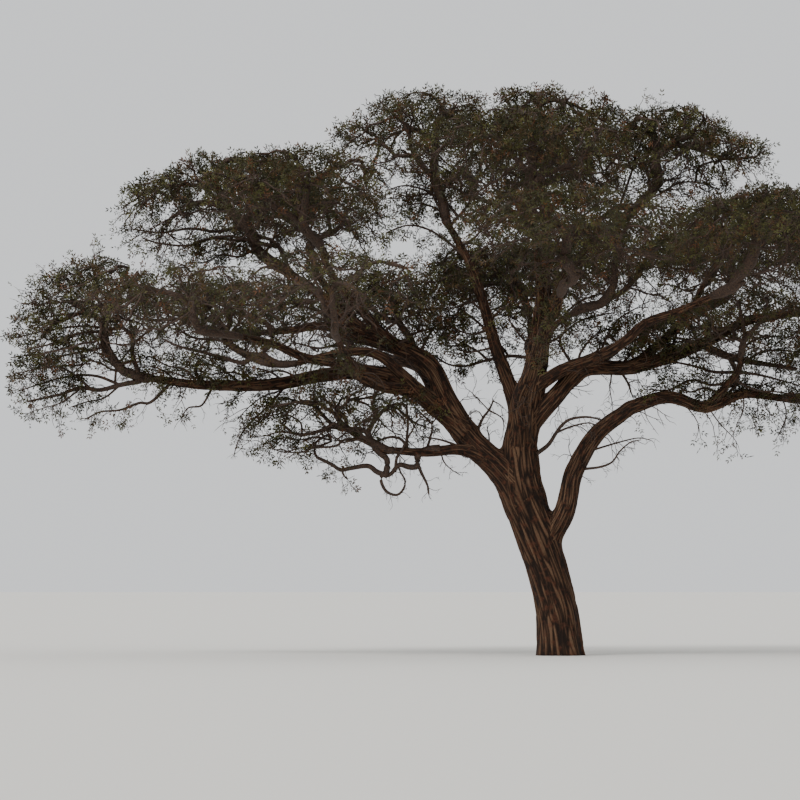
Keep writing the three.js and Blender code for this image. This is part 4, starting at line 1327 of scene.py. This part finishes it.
@cache
def branch_shoots():
    """Short crooked shoots along the side branches, and their forks."""
    random = np.random.default_rng(FIRST_SEED + 1)
    found = []
    for line, radius, leafy_share in side_lines():
        for walked in np.arange(SIDE_SHOOTS["from"] * line.length, line.length, SIDE_SHOOTS["spacing"]):
            share = walked / line.length
            spot, ahead = line.at_length([share, share + SIDE_SHOOTS["ahead"]])
            reach = mix(*SIDE_SHOOTS["length"], random.random())
            reach *= mix(1, SIDE_SHOOTS["leafy_length"], leafy_share)
            leafy = random.random() < leafy_share
            limb = spot, unit(ahead - spot), radius * SIDE_SHOOTS["girth"]
            found += shoot(*limb, reach, SIDE_SHOOTS["radius"], leafy, random)
    return [part for part in found if near_solids(part.path)]


def near_solids(path):
    """Whether a path keeps within the solids' box, or nearly."""
    low, high = np.array(CAD_BOX)
    return bool(((path > low - STAND_OUT) & (path < high + STAND_OUT)).all())


class Shoot(NamedTuple):
    """A shoot's path, the radius at each of its places, its level of forking, and whether it has leaves."""

    path: np.ndarray
    radii: np.ndarray
    level: int
    leafy: bool


def shoot(spot, way, limb_radius, reach, thickness, leafy, random):
    """One crooked shoot from a limb, with its forks."""
    turn = random.normal(0, 1, 3) - (0, 0, LEAVING["droop"])
    out = unit(turn - way * turn.dot(way))
    root = spot + out * limb_radius * LEAVING["sunk"]
    path = crooked_path(root, out * LEAVING["outward"] + way * LEAVING["onward"], reach, random)
    radius = thickness * (STOUTNESS + reach)
    found = [Shoot(path, radius * np.linspace(1, BLUNT, len(path)), 1, leafy)]
    for place, chance in SHOOT_FORKS:
        if random.random() < chance:
            side = unit(path[place + 1] - path[place]) + random.normal(0, FORK["scatter"], 3)
            length = reach * mix(*FORK["length"], random.random())
            fork = crooked_path(path[place], side, length, random)
            width = max(radius * FORK["radius"], FINEST_SHOOT)
            found.append(Shoot(fork, width * np.linspace(1, BLUNT, len(fork)), 2, leafy))
            if random.random() < LAST_FORK["chance"]:
                side = unit(fork[2] - fork[1]) + random.normal(0, LAST_FORK["scatter"], 3)
                last = crooked_path(fork[2], side, reach * LAST_FORK["length"], random)
                found.append(Shoot(last, FINEST_SHOOT * np.linspace(1, BLUNT, len(last)), 3, leafy))
    return found


def crooked_path(start, way, reach, random):
    """A path of five places that wanders from its first way and droops."""
    path = [start]
    for _ in range(WOOD_PLACES):
        way = unit(way + random.normal(0, CROOK, 3) - (0, 0, SAG))
        path.append(path[-1] + way * reach / WOOD_PLACES)
    return np.array(path)


def side_branch_parts():
    """The side branches, each a smooth tapering tube."""
    parts = []
    for line, radius, _ in side_lines():
        rings = max(SIDE_FORM["fewest_rings"], round(line.length / SIDE_FORM["ring_step"]))
        path = line.at_length(np.linspace(0, 1, rings + 1))
        width = radius * np.linspace(1, BLUNT, rings + 1)
        parts.append(tubes(path[None], width[None], SIDE_FORM["sides"]))
    return parts


def shoot_parts(shoots):
    """Shoots as tubes, with fewer rings and sides at each level of forking."""
    parts = []
    for level, (rings, sides) in enumerate(SHOOT_FORMS, start=1):
        own = [part for part in shoots if part.level == level]
        paths = np.array([part.path for part in own])
        widths = np.array([part.radii for part in own])
        parts.append(tubes(*resampled(paths, widths, rings), sides))
    return parts


# Leaves

# The pairs of feathers on a leaf: where each stands on the stalk, its angle from it and its length
FEATHER_PAIRS = [(0.25, 1.05, 0.52), (0.62, 0.55, 0.56)]
FEATHER_WIDTH = 0.34  # against the feather's length
FEATHER_WIDEST = 0.45  # share of the way to its tip
FEATHER_FOLD = 0.06  # rise of its sides over its middle, against the leaf's length
FEATHER_SPOTS = [(0.5, 0), (0, 0.5), (0.5, 1), (1, 0.5)]  # its root, one side, its tip and the other, as UV
FEATHER_HALVES = [(0, 1, 2), (0, 2, 3)]  # corners of its two triangles
FEATHER_LIFT = {"waist": 0.11, "tip": 0.132}  # their rise from the stalk, against the feather's length


@cache
def leaf_template():
    """One leaf of unit length along X, as corners, triangles and the place of each corner on its feather."""
    bm = bmesh.new()
    layer = bm.loops.layers.uv.new("feather")
    for stand, angle, length in FEATHER_PAIRS:
        for hand in (-1, 1):
            way = Vector((math.cos(angle), hand * math.sin(angle), 0))
            side = Vector((-way.y, way.x, 0))
            root = Vector((stand, 0, 0))
            half = side * (FEATHER_WIDTH * length / 2)
            waist = root + way * (length * FEATHER_WIDEST) + Vector((0, 0, FEATHER_LIFT["waist"] * length))
            fold = Vector((0, 0, FEATHER_FOLD))
            tip = root + way * length + Vector((0, 0, FEATHER_LIFT["tip"] * length))
            ring = [bm.verts.new(place) for place in (root, waist - half + fold, tip, waist + half + fold)]
            for corners in FEATHER_HALVES:
                face = bm.faces.new([ring[k] for k in corners])
                for loop, k in zip(face.loops, corners):
                    loop[layer].uv = FEATHER_SPOTS[k]
    spots = np.array([loop[layer].uv[:] for face in bm.faces for loop in face.loops])
    corners = np.array([vert.co[:] for vert in bm.verts])
    bm.verts.index_update()
    triangles = np.array([[vert.index for vert in face.verts] for face in bm.faces])
    bm.free()
    return corners, triangles, spots


LEAF_SITES = (0.3, 0.55, 0.8, 1.0)  # where leaves stand on the finest twigs, as shares of their length
LEAF_STAGGER = 0.12  # how far a leaf may stand back from its site
LEAF_SPREAD = 0.9  # radians from the twig
END_LEAN = 0.3  # the same for the leaf at the twig's end, against the others
PATH_TURN = 1.7  # golden turns from the leaves of one twig to those of the next
LEAF_UP = (0.1, 0.05, 1.0)  # leans a little, so that no twig runs along it
LEAF_SIZE_RANGE = (0.65, 1.2)
LEVEL = 0.7  # pull of the leaves' faces towards the sky
BARE_BELOW = (0.72, 1.0)  # leaves kept at a mass's middle height, and how fast that grows upward
CLUMPS = {"size": 0.34, "low": -0.32, "high": 0.1}  # of leaves: few where the noise is low, all where high
FULLER_ABOVE = 0.35  # added to that noise at the top of a mass, so that the holes are lower down
SHOOT_LEAFINESS = 0.7
LEAF_SEED = 7 * FIRST_SEED  # of the first mass's leaves, with one for each
TINTS = {"olive": 0.34, "dark_olive": 0.3, "bronze": 0.16, "fresh": 0.12, "russet": 0.08}  # shares of sprays


def leaf_parts(masses, size):
    """The leaves of some masses, as corners, triangles and tints."""
    parts = []
    for mass in masses:
        _, _, sprays = grown(MASSES.index(mass))
        random = np.random.default_rng(LEAF_SEED + MASSES.index(mass))
        height = (sprays[:, -1, 2] - mass.centre[2]) / mass.reach[2]
        share = (BARE_BELOW[0] + BARE_BELOW[1] * height) * LEAFINESS.get(mass.name, 1)
        lumps = np.array([noise.noise(Vector(spray[-1]) / CLUMPS["size"]) for spray in sprays])
        lumps += FULLER_ABOVE * height
        share *= eased((lumps - CLUMPS["low"]) / (CLUMPS["high"] - CLUMPS["low"]))
        parts.append(leaves_on(sprays, share, size, random))
    return parts


def shoot_leaf_parts(size):
    """The leaves of the leafy shoots."""
    paths = np.array([part.path for part in bough_shoots() + branch_shoots() if part.leafy])
    return [leaves_on(paths, np.full(len(paths), SHOOT_LEAFINESS), size, np.random.default_rng(FIRST_SEED))]


def leaves_on(paths, kept_share, size, random):
    """Leaves along each path, turned round it by the golden angle, with a share of them kept."""
    template, triangles, _ = leaf_template()
    count = (len(paths), len(LEAF_SITES))
    sites = np.tile(LEAF_SITES, (len(paths), 1)) - random.uniform(0, LEAF_STAGGER, count)
    root, way = along_paths(paths, sites)
    tint = np.repeat(random.choice(len(TINTS), (len(paths), 1), p=list(TINTS.values())), count[1], axis=1)
    lean = np.where(np.arange(count[1]) == count[1] - 1, END_LEAN, 1.0)[None, :, None] * LEAF_SPREAD
    turn = ((np.arange(count[0])[:, None] * PATH_TURN + np.arange(count[1])[None]) * GOLDEN_TURN)[..., None]
    side = unit(np.cross(way, LEAF_UP))
    out = side * np.cos(turn) + np.cross(way, side) * np.sin(turn)
    along = unit(way * np.cos(lean) + out * np.sin(lean))
    face = random.normal(0, 1, (*count, 3)) + (0, 0, LEVEL)
    face = unit(face - along * (face * along).sum(axis=-1, keepdims=True))
    kept = random.random(count) < kept_share[:, None]
    root, along, face, tint = root[kept], along[kept], face[kept], tint[kept]
    scale = size * random.uniform(*LEAF_SIZE_RANGE, len(root))
    axes = np.stack([along, np.cross(face, along), face], axis=1) * scale[:, None, None]
    corners = np.einsum("ck,nkj->ncj", template, axes) + root[:, None]
    faces = (triangles[None] + (np.arange(len(root)) * len(template))[:, None, None]).reshape(-1, 3)
    return corners.reshape(-1, 3), faces, np.repeat(tint, len(triangles))


def leaf_mesh(name, parts):
    """Leaves joined into one mesh, with the place of each corner on its feather as a UV map."""
    _, _, spots = leaf_template()
    mesh = joined_mesh(name, parts)
    layer = mesh.uv_layers.new(name="feather")
    layer.data.foreach_set("uv", np.tile(spots.ravel(), len(mesh.loops) // len(spots)).astype(np.float32))
    return mesh


# Materials

# A Mix node's colour sockets have the same names as its others, so they go by number
MIX_A = 6
MIX_B = 7
MIX_RESULT = 2


def add_node(tree, kind, settings=None, links=None):
    """Adds a node. A setting names one of its inputs or its own values, and a link feeds an input."""
    node = tree.nodes.new(kind)
    for name, value in (settings or {}).items():
        if name in node.inputs:
            node.inputs[name].default_value = value
        else:
            setattr(node, name, value)
    for name, source in (links or {}).items():
        tree.links.new(source, node.inputs[name])
    return node


def new_material(name):
    material = bpy.data.materials.new(name)
    material.use_nodes = True
    tree = material.node_tree
    return material, tree, tree.nodes["Principled BSDF"]


def set_ramp(node, stops):
    """Gives a colour ramp its stops: pairs of a place and a linear colour."""
    elements = node.color_ramp.elements
    for place, _ in stops[1:-1]:
        elements.new(place)
    for element, (place, colour) in zip(elements, stops):
        element.position = place
        element.color = (*colour, 1)


def furrowed_bark(settings):
    """Old acacia bark: dry cork in long plates. It is rough and dull, darkened in the furrows with painted
    shade, greyer on the plates' weathered crests and redder where a flake has come off."""
    material, tree, shader = new_material("furrowed_bark")
    height = add_node(tree, "ShaderNodeAttribute", {"attribute_name": "height"})
    grain = add_node(tree, "ShaderNodeAttribute", {"attribute_name": "grain"})
    # Painted shade: the ramp darkens the bark the deeper a place lies in a furrow, by its height attribute, on
    # top of the real relief
    ramp = add_node(tree, "ShaderNodeValToRGB", links={"Fac": height.outputs["Fac"]})
    set_ramp(ramp, [(0.08, settings.furrow), (0.45, settings.flank), (0.95, settings.crest)])
    patches = add_node(tree, "ShaderNodeTexNoise", {"Scale": 0.55, "Detail": 3},
                       {"Vector": grain.outputs["Vector"]})
    patchy = add_node(tree, "ShaderNodeMapRange", {"From Min": 0.52, "From Max": 0.7, "To Max": 0.6},
                      {"Value": patches.outputs["Fac"]})
    tinted = add_node(tree, "ShaderNodeMix", {"data_type": "RGBA"})
    tree.links.new(patchy.outputs["Result"], tinted.inputs["Factor"])
    tree.links.new(ramp.outputs["Color"], tinted.inputs[MIX_A])
    tinted.inputs[MIX_B].default_value = (*settings.flake, 1)
    strings_place = add_node(tree, "ShaderNodeMapping", {"Scale": (7, 7, 1.2)},
                             {"Vector": grain.outputs["Vector"]})
    strings = add_node(tree, "ShaderNodeTexNoise", {"Scale": 1, "Detail": 4, "Roughness": 0.65},
                       {"Vector": strings_place.outputs["Vector"]})
    shade = add_node(tree, "ShaderNodeMapRange",
                     {"From Min": 0.3, "From Max": 0.7, "To Min": 0.55, "To Max": 1.3},
                     {"Value": strings.outputs["Fac"]})
    colour = add_node(tree, "ShaderNodeMix", {"data_type": "RGBA", "blend_type": "MULTIPLY", "Factor": 1})
    tree.links.new(tinted.outputs[MIX_RESULT], colour.inputs[MIX_A])
    tree.links.new(shade.outputs["Result"], colour.inputs[MIX_B])
    bump = add_node(tree, "ShaderNodeBump", {"Strength": 0.8, "Distance": 6 * MILLIMETRE},
                    {"Height": strings.outputs["Fac"]})
    tree.links.new(colour.outputs[MIX_RESULT], shader.inputs["Base Color"])
    tree.links.new(bump.outputs["Normal"], shader.inputs["Normal"])
    shader.inputs["Roughness"].default_value = 0.95
    shader.inputs["Specular IOR Level"].default_value = 0.25
    return material


def twig_bark(settings):
    """The thin smooth bark of young acacia wood: a dull brown, freckled, with a faint sheen."""
    material, tree, shader = new_material("twig_bark")
    place = add_node(tree, "ShaderNodeTexCoord")
    freckles = add_node(tree, "ShaderNodeTexNoise", {"Scale": 1 / (25 * MILLIMETRE), "Detail": 3},
                        {"Vector": place.outputs["Object"]})
    ramp = add_node(tree, "ShaderNodeValToRGB", links={"Fac": freckles.outputs["Fac"]})
    set_ramp(ramp, [(0.35, settings.furrow), (0.55, settings.flank), (0.75, settings.twig)])
    bump = add_node(tree, "ShaderNodeBump", {"Strength": 0.5, "Distance": 2 * MILLIMETRE},
                    {"Height": freckles.outputs["Fac"]})
    tree.links.new(ramp.outputs["Color"], shader.inputs["Base Color"])
    tree.links.new(bump.outputs["Normal"], shader.inputs["Normal"])
    shader.inputs["Roughness"].default_value = 0.8
    return material


def leaf_blade(name, colour):
    """Feathery acacia leaf: many tiny leaflets with a soft waxy bloom. The leaflets are ribs across each
    feather, drawn a little coarser than life so that they show. Its colour is dealt out by spray."""
    material, tree, shader = new_material(name)
    spot = add_node(tree, "ShaderNodeUVMap", {"uv_map": "feather"})
    ribs = add_node(tree, "ShaderNodeTexWave", {"Scale": 3.5, "Distortion": 0.4, "bands_direction": "Y"},
                    {"Vector": spot.outputs["UV"]})
    bump = add_node(tree, "ShaderNodeBump", {"Strength": 0.6, "Distance": 2 * MILLIMETRE},
                    {"Height": ribs.outputs["Fac"]})
    gloss = add_node(tree, "ShaderNodeMapRange", {"To Min": 0.5, "To Max": 0.75},
                     {"Value": ribs.outputs["Fac"]})
    shader.inputs["Base Color"].default_value = (*colour, 1)
    tree.links.new(bump.outputs["Normal"], shader.inputs["Normal"])
    tree.links.new(gloss.outputs["Result"], shader.inputs["Roughness"])
    shader.inputs["Specular IOR Level"].default_value = 0.3
    return material


def matt_floor(colour):
    """Plain painted studio floor, matt."""
    material, _, shader = new_material("matt_floor")
    shader.inputs["Base Color"].default_value = (*colour, 1)
    shader.inputs["Roughness"].default_value = 0.9
    return material


# Settings

def colour_property(name, description, code):
    return bpy.props.FloatVectorProperty(
        name=name, description=description, subtype="COLOR", size=3, min=0, max=1, default=linear(code))


class AcaciaBarkSettings(bpy.types.PropertyGroup):
    """Sizes and colours of the bark."""

    plate_width: bpy.props.FloatProperty(
        name="Plate width", description="Width of a plate of bark on the trunk",
        default=0.07, unit="LENGTH", subtype="DISTANCE")
    relief: bpy.props.FloatProperty(
        name="Relief", description="Depth of the furrows on the trunk",
        default=0.03, unit="LENGTH", subtype="DISTANCE")
    # Painted shade deep in the trunk's furrows; on the twigs, the darkest freckles
    furrow: colour_property("Furrow", "Colour deep in the furrows", "#1c120c")
    flank: colour_property("Flank", "Colour on the sides of the plates", "#3e2b1e")
    crest: colour_property("Crest", "Colour on the weathered crests", "#634b38")
    flake: colour_property("Flake", "Colour where a flake has come off", "#553222")
    twig: colour_property("Twig", "Lightest colour of the young twigs", "#523c2c")


class AcaciaLeafSettings(bpy.types.PropertyGroup):
    """Size and colours of the leaves."""

    length: bpy.props.FloatProperty(
        name="Length", description="Length of a leaf, larger than life to fill the crown",
        default=0.15, unit="LENGTH", subtype="DISTANCE")
    olive: colour_property("Olive", "The commonest leaf colour", "#3d3a1a")
    dark_olive: colour_property("Dark olive", "Colour of the older leaves", "#2c2b14")
    bronze: colour_property("Bronze", "Colour of leaves that are turning", "#49361a")
    fresh: colour_property("Fresh", "Colour of the younger leaves", "#4d4c22")
    russet: colour_property("Russet", "Colour of dry leaves", "#54331a")


class AcaciaStageSettings(bpy.types.PropertyGroup):
    """The camera, the floor and the light."""

    distance: bpy.props.FloatProperty(
        name="Camera distance", description="From the camera to the trunk",
        default=VIEW["distance"], unit="LENGTH", subtype="DISTANCE")
    eye_height: bpy.props.FloatProperty(
        name="Eye height", description="Height of the camera", default=VIEW["eye"], unit="LENGTH",
        subtype="DISTANCE")
    sun: bpy.props.FloatProperty(name="Sun", description="Strength of the main light", default=2.6)
    sky: bpy.props.FloatProperty(name="Sky", description="Strength of the light from all round", default=1.1)
    floor: colour_property("Floor", "Colour of the floor", "#d9d6cf")
    backdrop: colour_property("Backdrop", "Colour behind the tree", "#eceef0")


# Operators

def node_names(limbs):
    return ["trunk" if name == "trunk" else f"bough_{name}" for name in limbs]


class ACACIA_OT_limbs(bpy.types.Operator):
    """Make the bark of the trunk and of every bough"""

    bl_idname = "acacia.limbs"
    bl_label = "Trunk and boughs"

    def execute(self, context):
        settings = context.scene.acacia_bark
        bark = furrowed_bark(settings)
        for number, strand in enumerate(strands()):
            add_piece(skin(strand, number, settings), [bark], node_names(strand.limbs))
        return {"FINISHED"}


class ACACIA_OT_twigs(bpy.types.Operator):
    """Grow the twigs of every mass of foliage"""

    bl_idname = "acacia.twigs"
    bl_label = "Twigs"

    def execute(self, context):
        bark = twig_bark(context.scene.acacia_bark)
        for part, names in CROWN_PARTS.items():
            masses = [mass for mass in MASSES if mass.name in names]
            mesh = joined_mesh(f"twigs_{part}", twig_parts(masses))
            smooth_shaded(mesh)
            add_piece(mesh, [bark], [f"foliage_{name}" for name in names])
        return {"FINISHED"}


class ACACIA_OT_side_branches(bpy.types.Operator):
    """Add the side branches, and the short shoots along them and the boughs"""

    bl_idname = "acacia.side_branches"
    bl_label = "Side branches"

    def execute(self, context):
        bark = twig_bark(context.scene.acacia_bark)
        pieces = {"side_branches": side_branch_parts(), "bough_shoots": shoot_parts(bough_shoots()),
                  "branch_shoots": shoot_parts(branch_shoots())}
        for name, parts in pieces.items():
            mesh = joined_mesh(name, parts)
            smooth_shaded(mesh)
            add_piece(mesh, [bark])
        return {"FINISHED"}


class ACACIA_OT_leaves(bpy.types.Operator):
    """Deal out the feathery leaves over the finest twigs"""

    bl_idname = "acacia.leaves"
    bl_label = "Leaves"

    def execute(self, context):
        settings = context.scene.acacia_leaves
        tints = [leaf_blade(f"leaf_{name}", getattr(settings, name)) for name in TINTS]
        for part, names in CROWN_PARTS.items():
            masses = [mass for mass in MASSES if mass.name in names]
            mesh = leaf_mesh(f"leaves_{part}", leaf_parts(masses, settings.length))
            add_piece(mesh, tints, [f"foliage_{name}" for name in names])
        add_piece(leaf_mesh("leaves_shoots", shoot_leaf_parts(settings.length)), tints)
        return {"FINISHED"}


# The camera stands where the reference view was taken
SENSOR = 36  # millimetres across
LENS = 182.3  # millimetres
FLOOR = {"radius": 1500, "sides": 96}
KEY_LIGHT = {"softness": 25, "turn": (48, -18, -28)}  # degrees


class ACACIA_OT_stage(bpy.types.Operator):
    """Set up the floor, the light and the camera"""

    bl_idname = "acacia.stage"
    bl_label = "Stage"

    def execute(self, context):
        settings = context.scene.acacia_stage
        bm = bmesh.new()
        bmesh.ops.create_circle(bm, cap_ends=True, segments=FLOOR["sides"], radius=FLOOR["radius"])
        mesh = bpy.data.meshes.new("studio_floor")
        bm.to_mesh(mesh)
        bm.free()
        mesh.materials.append(matt_floor(settings.floor))
        floor = bpy.data.objects.new("studio_floor", mesh)
        context.collection.objects.link(floor)

        world = bpy.data.worlds.new("studio")
        world.use_nodes = True
        backdrop = world.node_tree.nodes["Background"]
        backdrop.inputs["Color"].default_value = (*settings.backdrop, 1)
        backdrop.inputs["Strength"].default_value = settings.sky
        context.scene.world = world

        light = bpy.data.lights.new("soft_key", "SUN")
        light.energy = settings.sun
        light.angle = math.radians(KEY_LIGHT["softness"])
        key = bpy.data.objects.new("soft_key", light)
        key.rotation_euler = [math.radians(turn) for turn in KEY_LIGHT["turn"]]
        context.collection.objects.link(key)

        lens = bpy.data.cameras.new("camera")
        lens.lens = LENS
        lens.sensor_width = SENSOR
        lens.clip_end = 2 * FLOOR["radius"]
        camera = bpy.data.objects.new("camera", lens)
        middle_x, middle_z = VIEW["middle"]
        camera.location = (middle_x, -settings.distance, settings.eye_height)
        rise = math.atan2(middle_z - settings.eye_height, settings.distance)
        camera.rotation_euler = (math.pi / 2 + rise, 0, 0)
        context.collection.objects.link(camera)
        context.scene.camera = camera
        return {"FINISHED"}


class ACACIA_PT_panel(bpy.types.Panel):
    """Lists the steps that build the acacia, with their settings"""

    bl_label = "Acacia"
    bl_idname = "ACACIA_PT_panel"
    bl_space_type = "VIEW_3D"
    bl_region_type = "UI"
    bl_category = "Acacia"

    def draw(self, context):
        layout = self.layout
        for group in (context.scene.acacia_bark, context.scene.acacia_leaves, context.scene.acacia_stage):
            for name in group.__annotations__:
                layout.prop(group, name)
        for step in STEPS:
            layout.operator(step.bl_idname)


STEPS = (ACACIA_OT_limbs, ACACIA_OT_twigs, ACACIA_OT_side_branches, ACACIA_OT_leaves, ACACIA_OT_stage)
CLASSES = (AcaciaBarkSettings, AcaciaLeafSettings, AcaciaStageSettings, *STEPS, ACACIA_PT_panel)


def register():
    for kind in CLASSES:
        bpy.utils.register_class(kind)
    bpy.types.Scene.acacia_bark = bpy.props.PointerProperty(type=AcaciaBarkSettings)
    bpy.types.Scene.acacia_leaves = bpy.props.PointerProperty(type=AcaciaLeafSettings)
    bpy.types.Scene.acacia_stage = bpy.props.PointerProperty(type=AcaciaStageSettings)


def unregister():
    del bpy.types.Scene.acacia_stage
    del bpy.types.Scene.acacia_leaves
    del bpy.types.Scene.acacia_bark
    for kind in reversed(CLASSES):
        bpy.utils.unregister_class(kind)


def main():
    register()
    bpy.ops.acacia.limbs()
    bpy.ops.acacia.twigs()
    bpy.ops.acacia.side_branches()
    bpy.ops.acacia.leaves()
    bpy.ops.acacia.stage()


if __name__ == "__main__":
    main()
